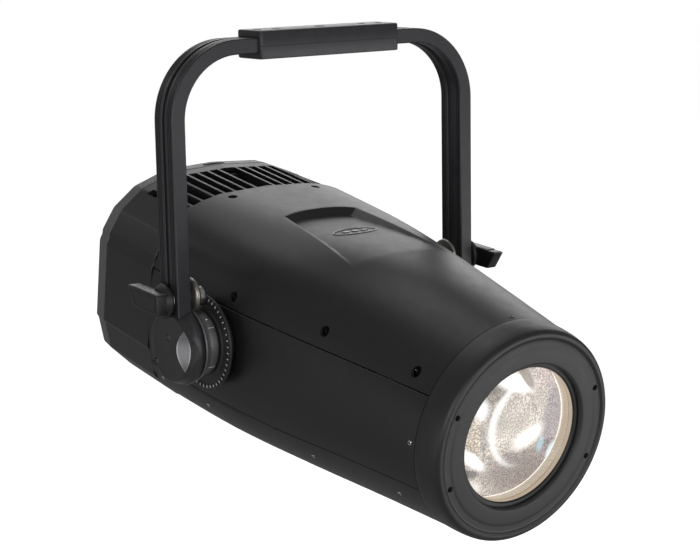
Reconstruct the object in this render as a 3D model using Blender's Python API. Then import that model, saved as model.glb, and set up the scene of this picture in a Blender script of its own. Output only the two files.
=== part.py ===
"""A profile follow spot that hangs from a yoke.

The yoke is a bent grooved bar with a two-part clamp block at its middle and a round cap at each end.
The head tilts on two trunnions between the caps, and two clamp levers hold it against its index discs.

Row frame: origin at the middle of the clamp block's top face, X along the tilt axis, the lens towards -Y,
+Z up. Two empties carry the assembly: yoke_frame has its origin on the tilt axis, and head_frame is the same
place turned nose down to the angle at which the head rests.
Lengths below are millimetres; the helpers turn them into metres.
"""

import math

import bmesh
import bpy
from mathutils import Matrix, Vector

MM = 0.001
GAP = 0.3

# Yoke
BLOCK_TOP = 305.0
BLOCK_SEAM = 290.0
BLOCK_BOTTOM = 277.0
BLOCK_HALF_LENGTH = 86.0
BLOCK_HALF_DEPTH = 20.8
BLOCK_CHAMFER = 1.5
BLOCK_CORNER = 3.0
BAR_CENTRE = 180.0
BAR_THICK = 15.0
BAR_DEPTH = 33.4
BAR_TOP = 298.0
BAR_END = -12.0
BEND_RADIUS = 69.5
BEND_STEPS = 12
BRACKET_HOLE_SPACING = 106.0
BRACKET_HOLE_RADIUS = 4.5
CLAMP_HOLE_RADIUS = 6.1
BLOCK_SCREW_X = 75.5
BLOCK_SCREW_RADIUS = 4.0

# Pivots
TILT_AT_REST = 9.27
CAP_FACE = 190.0
CAP_LIP = 176.0
CAP_RADIUS = 35.0
CAP_LIP_RADIUS = 40.0
CAP_SCREW_RADIUS = 3.2
CAP_SCREW_PLACES = ((1.0, 9.5), (25.0, -18.5))
HUB_RADIUS = 33.0
HUB_FLANGE_RADIUS = 37.5
DISC_RADIUS = 48.0
DISC_INNER = 146.0
DISC_OUTER = 151.0
BOSS_END = 130.0
SHAFT_RADIUS = 12.0
LEVER_AXIS = 47.0
LEVER_BOLT_RADIUS = 5.0
LEVER_HUB_RADIUS = 17.5
LEVER_REACH = 43.0
LEVER_HEEL = 14.5
LEVER_TILT = 4.5
WASHER_RADIUS = 17.5

# Head, in the head frame: y runs back along the beam, z is measured from the optical axis
OPTICAL_DROP = 8.6
WALL = 3.0
SEAM_ABOVE = 47.0
SEAM_BELOW_FRONT = -45.0
SEAM_BELOW_BACK = -56.5
SEAM_LEVELS_OUT = -90.0
FRONT_SEAM = -286.5
COVER_BACK = 120.0
HOUSING_FRONT = 120.6
HOUSING_BACK = 214.0
BACK_FACE = 238.0
# y, half width, height, depth, and how square the cross section is (2 is round)
SECTIONS = (
    (-286.5, 106.0, 106.0, 106.0, 2.0),
    (-200.0, 116.0, 115.5, 111.0, 2.12),
    (-100.0, 128.0, 120.5, 114.0, 2.45),
    (0.0, 138.5, 122.0, 115.0, 2.8),
    (120.0, 140.0, 121.0, 114.0, 3.2),
)
HOUSING_RIGHT = (
    (0.0, 121.0), (60.0, 117.5), (99.0, 104.0), (124.0, 81.0), (140.0, 52.0),
    (140.0, -45.0), (129.0, -76.0), (100.0, -102.0), (66.0, -112.5), (0.0, -115.0),
)
GRILLE_FRONT = 124.0
GRILLE_BACK = 200.0
GRILLE_BAR = 2.8
GRILLE_FIRST_BAR = 11.7
GRILLE_PITCH = 13.3
GRILLE_BARS = 7
GRILLE_EDGE = 101.0
TOP_HOLE = (-3.0, 221.5, 9.5, 4.2)

# Back panel
KEY_PLACES = (-30.0, -10.0, 10.0, 30.0)
KEY_NAMES = ("menu", "down", "up", "enter")
KEY_RADIUS = 5.0
KEY_LEVEL = -4.0
INLET = (-65.0, -50.0)
DATA_PLACES = (-20.0, 12.0)
DATA_LEVEL = -50.0
DATA_RADIUS = 12.0
DISPLAY_BOTTOM = 12.0
DISPLAY_TOP = 48.0
DISPLAY_HALF = 36.0

# Front
FACE = -316.5
RING_FACE_RADIUS = 101.5
PLATE_RADIUS = 95.2
PLATE_OPENING = 70.0
LENS_RADIUS = 74.0
LENS_SEAT = 74.6
LENS_VISIBLE = 66.0
FACE_SCREW_CIRCLE = 91.0
FACE_HOLE_RADIUS = 3.0

# Optics
ROD_X = 74.0
ROD_Z = -52.0
ROD_RADIUS = 4.0
SCREW_X = 57.0
SCREW_Z = -66.0
SCREW_RADIUS = 3.5
ZOOM_Y = -236.0
FOCUS_Y = -150.0
CARRIAGE_THICK = 12.0
FRONT_BULKHEAD = -281.0
GATE_BULKHEAD = -72.0
ENGINE_BULKHEAD = 34.0
BULKHEAD_THICK = 3.0
BULKHEAD_MARGIN = 6.0
FLOOR_Z = -91.0
WHEEL_X = 44.0
WHEEL_Z = 30.0
WHEEL_RADIUS = 56.0
FAN_RADIUS = 46.0
FAN_BLADES = 7
FAN_PITCH = 35.0

BLACK_PLASTIC = ("black_cover", (0.035, 0.036, 0.038), 0.42, 0.0)
RING_PLASTIC = ("ring_black", (0.05, 0.051, 0.054), 0.38, 0.0)
YOKE_PAINT = ("yoke_paint", (0.075, 0.076, 0.085), 0.36, 0.3)
LEVER_PLASTIC = ("lever_plastic", (0.03, 0.03, 0.032), 0.45, 0.0)
BARE_ALUMINIUM = ("aluminium", (0.62, 0.62, 0.62), 0.35, 1.0)
STEEL = ("steel", (0.5, 0.5, 0.52), 0.3, 1.0)
SCREW_STEEL = ("black_steel", (0.04, 0.04, 0.042), 0.35, 1.0)
GLASS = ("glass", (0.9, 0.92, 0.9), 0.05, 0.0)
BOARD = ("circuit_board", (0.03, 0.14, 0.06), 0.5, 0.0)
BACK_GREY = ("back_grey", (0.35, 0.35, 0.36), 0.4, 0.0)
BRASS = ("brass", (0.6, 0.45, 0.2), 0.35, 1.0)


def clear_scene():
    for obj in list(bpy.data.objects):
        bpy.data.objects.remove(obj, do_unlink=True)


def material(spec):
    name, color, roughness, metallic = spec
    found = bpy.data.materials.get(name)
    if found:
        return found
    made = bpy.data.materials.new(name)
    made.use_nodes = True
    shader = made.node_tree.nodes["Principled BSDF"]
    shader.inputs["Base Color"].default_value = (*color, 1.0)
    shader.inputs["Roughness"].default_value = roughness
    shader.inputs["Metallic"].default_value = metallic
    return made


def empty(name, location, turn_x=0.0, parent=None):
    made = bpy.data.objects.new(name, None)
    bpy.context.scene.collection.objects.link(made)
    made.location = Vector(location) * MM
    made.rotation_euler.x = math.radians(turn_x)
    made.parent = parent
    return made


def solid(name, verts, faces, finish, parent, location=(0, 0, 0), turn=(0, 0, 0)):
    """A mesh object from corners in millimetres, its faces turned outwards, at a place in its parent."""
    mesh = bpy.data.meshes.new(name)
    mesh.from_pydata([Vector(v) * MM for v in verts], [], faces)
    shape = bmesh.new()
    shape.from_mesh(mesh)
    bmesh.ops.recalc_face_normals(shape, faces=shape.faces[:])
    shape.to_mesh(mesh)
    shape.free()
    mesh.shade_smooth()
    mesh.set_sharp_from_angle(angle=math.radians(30))
    mesh.materials.append(material(finish))
    made = bpy.data.objects.new(name, mesh)
    bpy.context.scene.collection.objects.link(made)
    made.location = Vector(location) * MM
    made.rotation_euler = [math.radians(angle) for angle in turn]
    made.parent = parent
    return made


def box(name, low, high, finish, parent, turn=(0, 0, 0)):
    """A block between two corners of its parent's frame, with its origin at its middle."""
    middle = [(a + b) / 2 for a, b in zip(low, high)]
    half = [(b - a) / 2 for a, b in zip(low, high)]
    signs = [(i, j, k) for i in (-1, 1) for j in (-1, 1) for k in (-1, 1)]
    verts = [(i * half[0], j * half[1], k * half[2]) for i, j, k in signs]
    faces = [(0, 1, 3, 2), (4, 6, 7, 5), (0, 4, 5, 1), (2, 3, 7, 6), (0, 2, 6, 4), (1, 5, 7, 3)]
    return solid(name, verts, faces, finish, parent, middle, turn)


TURNS = {"X": (0, 90, 0), "Y": (-90, 0, 0), "Z": (0, 0, 0)}


def turned(name, profile, finish, parent, location=(0, 0, 0), axis="Z", steps=24):
    """A body of revolution: profile is a closed outline of (radius, height along the axis)."""
    verts, rings = [], []
    for radius, height in profile:
        count = steps if radius > 0 else 1
        rings.append([len(verts) + k for k in range(count)])
        for k in range(count):
            angle = math.tau * k / steps
            verts.append((radius * math.cos(angle), radius * math.sin(angle), height))
    faces = []
    for here, after in zip(rings, rings[1:] + rings[:1]):
        for k in range(steps):
            nxt = (k + 1) % steps
            corners = [here[k % len(here)], here[nxt % len(here)]]
            corners += [after[nxt % len(after)], after[k % len(after)]]
            corners = list(dict.fromkeys(corners))
            if len(corners) > 2:
                faces.append(corners)
    return solid(name, verts, faces, finish, parent, location, TURNS[axis])


def rod(name, radius, start, end, finish, parent, location=(0, 0, 0), axis="Z", steps=20):
    profile = ((0, start), (radius, start), (radius, end), (0, end))
    return turned(name, profile, finish, parent, location, axis, steps)


def tube(name, inner, outer, start, end, finish, parent, location=(0, 0, 0), axis="Z", steps=24):
    profile = ((inner, start), (outer, start), (outer, end), (inner, end))
    return turned(name, profile, finish, parent, location, axis, steps)


def loft(name, loops, finish, parent, location=(0, 0, 0), closed=False):
    """Joins loops of equal length with quads, and caps the ends or closes the last loop on the first."""
    count = len(loops[0])
    verts = [corner for loop in loops for corner in loop]
    faces = []
    for i in range(len(loops) if closed else len(loops) - 1):
        here, after = i * count, (i + 1) % len(loops) * count
        for k in range(count):
            nxt = (k + 1) % count
            faces.append((here + k, here + nxt, after + nxt, after + k))
    if not closed:
        faces.append(tuple(range(count)))
        faces.append(tuple((len(loops) - 1) * count + k for k in range(count)))
    return solid(name, verts, faces, finish, parent, location)


def helper(obj):
    """Marks an object as a cutter or a joined-in shape, which is no piece of its own."""
    obj.hide_render = True
    obj.display_type = "WIRE"
    return obj


def combine(target, other, operation="DIFFERENCE", solver="EXACT"):
    modifier = target.modifiers.new(other.name, "BOOLEAN")
    modifier.operation = operation
    modifier.object = helper(other)
    modifier.solver = solver
    return target


def cut_round(target, radius, start, end, parent, location, axis, steps=24, solver="EXACT"):
    cutter = rod(f"{target.name}_hole", radius, start, end, SCREW_STEEL, parent, location, axis, steps)
    return combine(target, cutter, solver=solver)


def cut_box(target, low, high, parent):
    return combine(target, box(f"{target.name}_slot", low, high, SCREW_STEEL, parent))


# ---------------------------------------------------------------- head cross sections


def section_at(y):
    """Half width, height, depth and squareness of the covers at y, on a smooth curve through SECTIONS."""
    for k, (start, end) in enumerate(zip(SECTIONS, SECTIONS[1:])):
        if y <= end[0] or k == len(SECTIONS) - 2:
            break
    before = SECTIONS[max(k - 1, 0)]
    after = SECTIONS[min(k + 2, len(SECTIONS) - 1)]
    span = end[0] - start[0]
    t = (y - start[0]) / span
    values = []
    for i in range(1, 5):
        slope_in = (end[i] - before[i]) / (end[0] - before[0]) * span
        slope_out = (after[i] - start[i]) / (after[0] - start[0]) * span
        h00, h10 = 2 * t**3 - 3 * t**2 + 1, t**3 - 2 * t**2 + t
        h01, h11 = 3 * t**2 - 2 * t**3, t**3 - t**2
        values.append(h00 * start[i] + h10 * slope_in + h01 * end[i] + h11 * slope_out)
    return values


def rim_point(y, angle, inset):
    """The covers' surface at y, in the direction of angle (degrees from +X), moved in by inset."""
    width, height, depth, power = section_at(y)
    c, s = math.cos(math.radians(angle)), math.sin(math.radians(angle))
    tall = (height if s >= 0 else depth) - inset
    reach = (abs(c) ** power + abs(s) ** power) ** (-1 / power)
    return ((width - inset) * c * reach, y, tall * s * reach - OPTICAL_DROP)


def seam_below(y):
    """Level of the side panels' lower edge at y: it falls towards the back, then runs level."""
    share = min(1.0, (y - FRONT_SEAM) / (SEAM_LEVELS_OUT - FRONT_SEAM))
    return SEAM_BELOW_FRONT + (SEAM_BELOW_BACK - SEAM_BELOW_FRONT) * share


def seam_angle(y, level):
    """The direction, in degrees from +X, in which the covers' surface at y reaches a level."""
    _, height, depth, power = section_at(y)
    part = (abs(level) / (height if level >= 0 else depth)) ** power
    angle = math.degrees(math.atan((part / (1 - part)) ** (1 / power)))
    return math.copysign(angle, level)


def cover(name, edges_at, stations, divisions, finish, parent):
    """A curved sheet of the covers between two directions, WALL thick, as one closed body."""
    loops = []
    for y in stations:
        first, last = edges_at(y)
        angles = [first + (last - first) * k / divisions for k in range(divisions + 1)]
        outside = [rim_point(y, angle, 0) for angle in angles]
        inside = [rim_point(y, angle, WALL) for angle in reversed(angles)]
        loops.append(outside + inside)
    return loft(name, loops, finish, parent)


def cover_stations():
    steps = 9
    start = FRONT_SEAM + 2 * GAP
    return [start + (COVER_BACK - start) * k / steps for k in range(steps + 1)]


def housing_outline(y, inset=0.0):
    right = [(x - inset * x / 140.0, z - inset * z / 118.0) for x, z in HOUSING_RIGHT]
    left = [(-x, z) for x, z in reversed(right) if x > 0]
    return [(x, y, z - OPTICAL_DROP) for x, z in right + left]


# ---------------------------------------------------------------- yoke


def bar_path():
    """Middle line of the bent bar from the left end to the right: (x, z, outward direction)."""
    corner_x = BAR_CENTRE - BEND_RADIUS
    corner_z = BAR_TOP - BAR_THICK / 2 - BEND_RADIUS
    points = [(-BAR_CENTRE, BAR_END, 180.0)]
    for k in range(BEND_STEPS + 1):
        angle = 180 - 90 * k / BEND_STEPS
        turn = math.radians(angle)
        x = -corner_x + BEND_RADIUS * math.cos(turn)
        points.append((x, corner_z + BEND_RADIUS * math.sin(turn), angle))
    return points + [(-x, z, 180 - angle) for x, z, angle in reversed(points)]


def yoke_bar(yoke):
    """The bar's section has one groove down its outer broad face and a wider one down the inner face."""
    half, deep = BAR_THICK / 2, BAR_DEPTH / 2
    outer_groove, inner_groove, groove_depth = 2.6, 5.0, 2.0
    section = [
        (half, -deep), (half, -outer_groove), (half - groove_depth, -outer_groove),
        (half - groove_depth, outer_groove), (half, outer_groove), (half, deep),
        (-half, deep), (-half, inner_groove), (groove_depth - half, inner_groove),
        (groove_depth - half, -inner_groove), (-half, -inner_groove), (-half, -deep),
    ]
    loops = []
    for x, z, angle in bar_path():
        c, s = math.cos(math.radians(angle)), math.sin(math.radians(angle))
        loops.append([(x + out * c, y, z + out * s) for out, y in section])
    bar = loft("yoke_bar", loops, YOKE_PAINT, yoke)
    for side in (-1, 1):
        place = (side * BAR_CENTRE, 0, LEVER_AXIS)
        cut_round(bar, LEVER_BOLT_RADIUS + 0.5, -30, 30, yoke, place, "X", 16)
    cut_round(bar, CLAMP_HOLE_RADIUS, BLOCK_BOTTOM - 5, BLOCK_TOP + 5, yoke, (0, 0, 0), "Z")


def block_half(name, low, high, yoke):
    """Half of the clamp block, chamfered along its outer long edges, with the bar's channel cut in it."""
    top = high if name.endswith("upper") else low
    inner = low if top == high else high
    step = math.copysign(BLOCK_CHAMFER, top - inner)
    depth, length = BLOCK_HALF_DEPTH, BLOCK_HALF_LENGTH
    loops = []
    for z, cut in ((inner, 0.0), (top - step, 0.0), (top, BLOCK_CHAMFER)):
        x, y, corner = length - cut / 2, depth - cut, BLOCK_CORNER
        loops.append([
            (-x, -y + corner, z), (-x + corner, -y, z), (x - corner, -y, z), (x, -y + corner, z),
            (x, y - corner, z), (x - corner, y, z), (-x + corner, y, z), (-x, y - corner, z),
        ])
    half = loft(name, loops, YOKE_PAINT, yoke)
    reach = length + 10
    room = BAR_DEPTH / 2 + GAP
    cut_box(half, (-reach, -room, BAR_TOP - BAR_THICK - GAP), (reach, room, BAR_TOP + GAP), yoke)
    return half


def clamp_block(yoke):
    upper = block_half("block_upper", BLOCK_SEAM + GAP / 2, BLOCK_TOP, yoke)
    lower = block_half("block_lower", BLOCK_BOTTOM, BLOCK_SEAM - GAP / 2, yoke)
    low, high = BAR_TOP - 5, BLOCK_TOP + 5
    for x in (-BRACKET_HOLE_SPACING / 2, BRACKET_HOLE_SPACING / 2):
        cut_round(upper, BRACKET_HOLE_RADIUS, low, high, yoke, (x, 0, 0), "Z", 20, "MANIFOLD")
    for half in (upper, lower):
        cut_round(half, CLAMP_HOLE_RADIUS, BLOCK_BOTTOM - 5, high, yoke, (0, 0, 0), "Z", 20, "MANIFOLD")
    for side, x in (("left", -BLOCK_SCREW_X), ("right", BLOCK_SCREW_X)):
        cut_round(upper, BLOCK_SCREW_RADIUS + 0.4, low, high, yoke, (x, 0, 0), "Z", 16, "MANIFOLD")
        head_top = BLOCK_TOP - 2.0
        socket = ((0, BAR_TOP + 0.6), (BLOCK_SCREW_RADIUS, BAR_TOP + 0.6), (BLOCK_SCREW_RADIUS, head_top),
                  (2.2, head_top), (2.2, head_top - 2), (0, head_top - 2))
        turned(f"block_screw_{side}", socket, SCREW_STEEL, yoke, (x, 0, 0), "Z", 12)


def end_cap(side, sign, yoke):
    """The round cap on the bar's end: a pocket takes the bar, and a flat is milled on its front."""
    radius, lip = CAP_RADIUS, CAP_LIP_RADIUS
    profile = (
        (0, CAP_FACE), (radius - 2, CAP_FACE), (radius, CAP_FACE - 2), (lip - 1, CAP_LIP + 4),
        (lip, CAP_LIP + 2), (lip, CAP_LIP - 2), (lip - 2, CAP_LIP - 4), (0, CAP_LIP - 4),
    )
    profile = [(r, sign * h) for r, h in profile]
    cap = turned(f"end_cap_{side}", profile, YOKE_PAINT, yoke, axis="X", steps=32)
    room, deep = BAR_THICK / 2 + GAP, BAR_DEPTH / 2 + GAP
    middle = sign * BAR_CENTRE
    cut_box(cap, (middle - room, -deep, BAR_END - GAP), (middle + room, deep, lip + 10), yoke)
    flat = lip - 7.5
    cut_box(cap, (middle - 30, -lip - 10, -lip - 5), (middle + 30, -flat, lip + 5), yoke)
    for y, z in CAP_SCREW_PLACES:
        place = (0, y, z) if sign < 0 else (0, -y, z)
        ends = sorted((sign * (CAP_FACE - 3), sign * (CAP_FACE + 3)))
        cut_round(cap, CAP_SCREW_RADIUS, ends[0], ends[1], yoke, place, "X", 16)


def hub(side, sign, yoke):
    """The bearing hub inside the cap: a flange, then the barrel that the trunnion turns in."""
    bore = SHAFT_RADIUS + 0.5
    start, groove, barrel, end = CAP_LIP - 4.6, CAP_LIP - 6.5, 166.0, DISC_OUTER + 0.8
    flange = HUB_FLANGE_RADIUS
    profile = [
        (bore, start), (HUB_RADIUS - 1, start), (HUB_RADIUS - 1, groove), (flange, groove),
        (flange, barrel + 1), (flange - 1, barrel), (HUB_RADIUS, barrel), (HUB_RADIUS, end), (bore, end),
    ]
    turned(f"hub_{side}", [(r, sign * h) for r, h in profile], YOKE_PAINT, yoke, axis="X", steps=28)


def clamp_washer(side, sign, yoke):
    """The bare washer inside the bar that guides the clamp bolt's foot."""
    inner_face = CAP_LIP - 4 - GAP
    thin_end = 160.0
    bore, rim = LEVER_BOLT_RADIUS + 0.4, WASHER_RADIUS
    profile = [
        (bore, inner_face), (rim - 3, inner_face), (rim, inner_face - 4), (rim, thin_end), (bore, thin_end),
    ]
    washer = turned(f"clamp_washer_{side}", [(r, sign * h) for r, h in profile], BARE_ALUMINIUM, yoke,
                    (0, 0, LEVER_AXIS), "X", 24)
    barrel = HUB_FLANGE_RADIUS + 2 * GAP
    cut_round(washer, barrel, -220, 220, yoke, (0, 0, 0), "X", 32)


def lever(side, sign, yoke):
    """Clamp lever on its own empty: a round hub, an arm with a slanted tip, and the bolt that presses the disc."""
    pivot = empty(f"lever_{side}_axis", (0, 0, LEVER_AXIS), LEVER_TILT, yoke)
    base, rim = CAP_FACE + 1.0, LEVER_HUB_RADIUS
    profile = [(0, base), (rim - 1.5, base), (rim, base + 1.5), (rim, base + 4.5), (rim - 3, base + 8), (0, base + 8)]
    profile = [(r, sign * h) for r, h in profile]
    boss = turned(f"lever_{side}", profile, LEVER_PLASTIC, pivot, axis="X", steps=24)
    heading = -sign
    near, far = base + 6.3, base + 19.0
    loops = []
    for low_reach, high_reach, low, high in (
        (-LEVER_HEEL, 1.5 - LEVER_HEEL, -10.4, 10.0),
        (20.0, 20.0, -10.4, 9.8),
        (LEVER_REACH - 11.5, LEVER_REACH, -10.2, 9.2),
    ):
        corners = ((near, low_reach, low), (far, low_reach, low), (far, high_reach, high), (near, high_reach, high))
        loops.append([(sign * x, heading * reach, z) for x, reach, z in corners])
    arm = loft(f"lever_{side}_arm", loops, LEVER_PLASTIC, pivot)
    combine(boss, arm, "UNION")
    cut_round(boss, LEVER_BOLT_RADIUS + GAP, -(base + 8), base + 8, pivot, (0, 0, 0), "X", 16)
    bolt_start, foot_end, bolt_end = DISC_OUTER - 1.0, 158.5, base + 7.5
    foot = LEVER_BOLT_RADIUS * 2
    profile = [(0, bolt_start), (foot, bolt_start), (foot, foot_end), (LEVER_BOLT_RADIUS, foot_end),
               (LEVER_BOLT_RADIUS, bolt_end), (0, bolt_end)]
    turned(f"lever_bolt_{side}", [(r, sign * h) for r, h in profile], STEEL, pivot, axis="X", steps=16)


# ---------------------------------------------------------------- head shell


def index_disc(side, sign, head):
    profile = [
        (SHAFT_RADIUS + 0.4, DISC_OUTER), (HUB_RADIUS + 2, DISC_OUTER), (HUB_RADIUS + 4, DISC_OUTER - 1.5),
        (DISC_RADIUS - 1, DISC_OUTER - 1.5), (DISC_RADIUS, DISC_OUTER - 2.5), (DISC_RADIUS, DISC_INNER),
        (HUB_RADIUS, DISC_INNER), (HUB_RADIUS, BOSS_END), (SHAFT_RADIUS + 0.4, BOSS_END),
    ]
    turned(f"index_disc_{side}", [(r, sign * h) for r, h in profile], RING_PLASTIC, head, axis="X", steps=36)


def pivot_shaft(side, sign, head):
    """The trunnion: a pin in the hub with a flange bolted inside the side panel."""
    profile = [(0, 124.4), (24, 124.4), (24, 129.5), (SHAFT_RADIUS, 129.5), (SHAFT_RADIUS, 170.0), (0, 170.0)]
    turned(f"pivot_shaft_{side}", [(r, sign * h) for r, h in profile], STEEL, head, axis="X", steps=24)


def head_covers(head):
    stations = cover_stations()
    slit = 0.35

    def upper_edges(y):
        angle = seam_angle(y, SEAM_ABOVE + slit)
        return angle, 180 - angle

    def lower_edges(y):
        angle = seam_angle(y, seam_below(y) - slit)
        return angle, -180 - angle

    cover("top_cover", upper_edges, stations, 20, BLACK_PLASTIC, head)
    cover("bottom_cover", lower_edges, stations, 16, BLACK_PLASTIC, head)
    for side, sign in (("left", -1), ("right", 1)):
        def edges(y, sign=sign):
            low, high = seam_angle(y, seam_below(y) + slit), seam_angle(y, SEAM_ABOVE - slit)
            return (low, high) if sign > 0 else (180 - high, 180 - low)
        panel = cover(f"side_panel_{side}", edges, stations, 8, BLACK_PLASTIC, head)
        ends = sorted((sign * 120.0, sign * 150.0))
        cut_round(panel, HUB_RADIUS + 1.0, ends[0], ends[1], head, (0, 0, 0), "X", 24)


def rear_housing(head):
    """The faceted shell over the cooling section, open at both ends, slotted across its top."""
    loops = [housing_outline(HOUSING_FRONT), housing_outline(HOUSING_BACK),
             housing_outline(HOUSING_BACK, 4.0), housing_outline(HOUSING_FRONT, 4.0)]
    housing = loft("rear_housing", loops, BLACK_PLASTIC, head, closed=True)
    half = GRILLE_BAR / 2
    bars = [GRILLE_FIRST_BAR + GRILLE_PITCH * k for k in range(GRILLE_BARS)]
    slots = [(half - bars[0], bars[0] - half)]
    for start, end in zip(bars, bars[1:] + [GRILLE_EDGE + half]):
        slots += [(start + half, end - half), (half - end, -half - start)]
    for start, end in slots:
        cut_box(housing, (start, GRILLE_FRONT, 60), (end, GRILLE_BACK, 130), head)
    return housing


def rear_cover(head):
    """The pan that closes the back, with openings for the connectors, the display and the keys."""
    front = HOUSING_BACK + 2 * GAP
    loops = [housing_outline(front), housing_outline(BACK_FACE - 7, 1.5), housing_outline(BACK_FACE - 2, 6.0),
             housing_outline(BACK_FACE, 12.0)]
    pan = loft("rear_cover", loops, BACK_GREY, head)
    loops = [housing_outline(front - 5, 5.0), housing_outline(BACK_FACE - 4, 12.0)]
    combine(pan, loft("rear_cover_hollow", loops, BACK_GREY, head))
    start, end = BACK_FACE - 10, BACK_FACE + 5
    x, z = INLET
    cut_box(pan, (x - 17, start, z - 14), (x + 17, end, z + 14), head)
    for x in DATA_PLACES:
        cut_round(pan, DATA_RADIUS + 0.6, start, end, head, (x, 0, DATA_LEVEL), "Y", 24)
    cut_box(pan, (-DISPLAY_HALF, start, DISPLAY_BOTTOM), (DISPLAY_HALF, end, DISPLAY_TOP), head)
    for x in KEY_PLACES:
        cut_round(pan, KEY_RADIUS + 0.6, start, end, head, (x, 0, KEY_LEVEL), "Y", 20)
    x, y, reach, radius = TOP_HOLE
    eye = rod("rear_cover_eye", radius, 100, 125, BACK_GREY, head, (x - reach, y, 0), "Z", 16)
    far_end = rod("rear_cover_eye_end", radius, 100, 125, BACK_GREY, head, (x + reach, y, 0), "Z", 16)
    run = box("rear_cover_eye_run", (x - reach, y - radius, 101), (x + reach, y + radius, 124), BACK_GREY, head)
    combine(eye, far_end, "UNION")
    combine(eye, run, "UNION")
    combine(pan, eye)


def rear_fittings(head):
    back = BACK_FACE
    x, z = INLET
    low, high = (x - 16.5, back - 22, z - 13.5), (x + 16.5, back + 1, z + 13.5)
    inlet = box("power_inlet", low, high, LEVER_PLASTIC, head)
    cut_box(inlet, (x - 12, back - 14, z - 9), (x + 12, back + 4, z + 9), head)
    for name, x in zip(("data_in", "data_out"), DATA_PLACES):
        socket = DATA_RADIUS - 3
        profile = ((0, back - 20), (DATA_RADIUS, back - 20), (DATA_RADIUS, back + 1), (socket, back + 1),
                   (socket, back - 10), (0, back - 10))
        turned(name, profile, STEEL, head, (x, 0, DATA_LEVEL), "Y", 24)
    low = (0.5 - DISPLAY_HALF, back - 9, DISPLAY_BOTTOM + 0.5)
    box("display", low, (DISPLAY_HALF - 0.5, back - 1, DISPLAY_TOP - 0.5), LEVER_PLASTIC, head)
    for name, x in zip(KEY_NAMES, KEY_PLACES):
        profile = ((0, -8), (KEY_RADIUS, -8), (KEY_RADIUS, 2), (KEY_RADIUS - 1, 3), (0, 3))
        turned(f"key_{name}", profile, LEVER_PLASTIC, head, (x, back, KEY_LEVEL), "Y", 16)


def front_parts(head):
    """The bezel ring, the face plate with its screw holes, the lens retainer and the lens."""
    centre = (0, 0, -OPTICAL_DROP)
    back = FRONT_SEAM
    profile = (
        (106.2, back), (105.9, back - 10), (105.1, back - 20), (103.8, back - 27), (RING_FACE_RADIUS, FACE),
        (PLATE_RADIUS + 0.5, FACE), (PLATE_RADIUS + 0.5, FACE + 5.5), (LENS_RADIUS + 10, FACE + 5.5),
        (LENS_RADIUS + 10, FACE + 9), (LENS_SEAT, FACE + 9), (LENS_SEAT, back - 4), (100, back - 4),
        (100, back),
    )
    turned("front_ring", profile, RING_PLASTIC, head, centre, "Y", 48)
    start, end = FACE + 0.3, FACE + 5
    plate = tube("front_plate", PLATE_OPENING, PLATE_RADIUS, start, end, RING_PLASTIC, head, centre, "Y", 40)
    for angle in (22.5, 157.5, 202.5, 337.5):
        turn = math.radians(angle)
        place = (FACE_SCREW_CIRCLE * math.cos(turn), 0, FACE_SCREW_CIRCLE * math.sin(turn) - OPTICAL_DROP)
        cut_round(plate, FACE_HOLE_RADIUS, FACE - 5, FACE + 10, head, place, "Y", 12)
    ring = ((LENS_VISIBLE, FACE + 6), (PLATE_OPENING + 12, FACE + 6), (PLATE_OPENING + 12, FACE + 8.4),
            (LENS_VISIBLE + 1.5, FACE + 8.4))
    turned("lens_retainer", ring, RING_PLASTIC, head, centre, "Y", 36)
    lens = dome(LENS_RADIUS, FACE + 9.5, back - 6, 5.0)
    turned("front_lens", lens, GLASS, head, centre, "Y", 36)


def dome(radius, front, back, bulge, steps=4):
    """Outline of a plano-convex lens whose curved side faces the front."""
    points = [(0, back), (radius, back)]
    sphere = (radius**2 + bulge**2) / (2 * bulge)
    for k in range(steps + 1):
        r = radius * (1 - k / steps)
        points.append((r, front + sphere - math.sqrt(sphere**2 - r**2)))
    return points


# ---------------------------------------------------------------- inside the head


def bulkhead(name, y, opening, head):
    """A cross plate with the outline of the covers, set in by a margin, around an opening for the beam."""
    loops = [[rim_point(level, 360 * k / 24, BULKHEAD_MARGIN) for k in range(24)]
             for level in (y, y + BULKHEAD_THICK)]
    plate = loft(name, loops, BARE_ALUMINIUM, head)
    return cut_round(plate, opening, y - 5, y + 10, head, (0, 0, -OPTICAL_DROP), "Y", 24)


def chassis(head):
    """Floor plate with the bulkheads that carry the ring, the gate and the cooling section."""
    floor = box("chassis", (-60, FRONT_BULKHEAD, FLOOR_Z), (60, 204, FLOOR_Z + 3), BARE_ALUMINIUM, head)
    front = bulkhead("front_bulkhead", FRONT_BULKHEAD, 70, head)
    gate = bulkhead("gate_bulkhead", GATE_BULKHEAD, 34, head)
    engine = bulkhead("engine_bulkhead", ENGINE_BULKHEAD, 30, head)
    rails = [box(f"trunnion_rail_{k}", (min(x, x + 4), GATE_BULKHEAD + 1, -30), (max(x, x + 4), 36, 30),
                 BARE_ALUMINIUM, head) for k, x in enumerate((-104, 100))]
    arms = [box(f"trunnion_arm_{k}", (min(a, b), -24, -24), (max(a, b), 24, 24), BARE_ALUMINIUM, head)
            for k, (a, b) in enumerate(((-124, -101), (101, 124)))]
    for plate in [front, gate, engine] + rails + arms:
        combine(floor, plate, "UNION")
    for x in (-ROD_X, ROD_X):
        for y in (FRONT_BULKHEAD, GATE_BULKHEAD):
            cut_round(floor, ROD_RADIUS + GAP, y - 5, y + 8, head, (x, 0, ROD_Z), "Y", 16)
    start, end = GATE_BULKHEAD - 5, GATE_BULKHEAD + 8
    for x in (-SCREW_X, SCREW_X):
        cut_round(floor, SCREW_RADIUS + 0.5, start, end, head, (x, 0, SCREW_Z), "Y", 16)
    return floor


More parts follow.
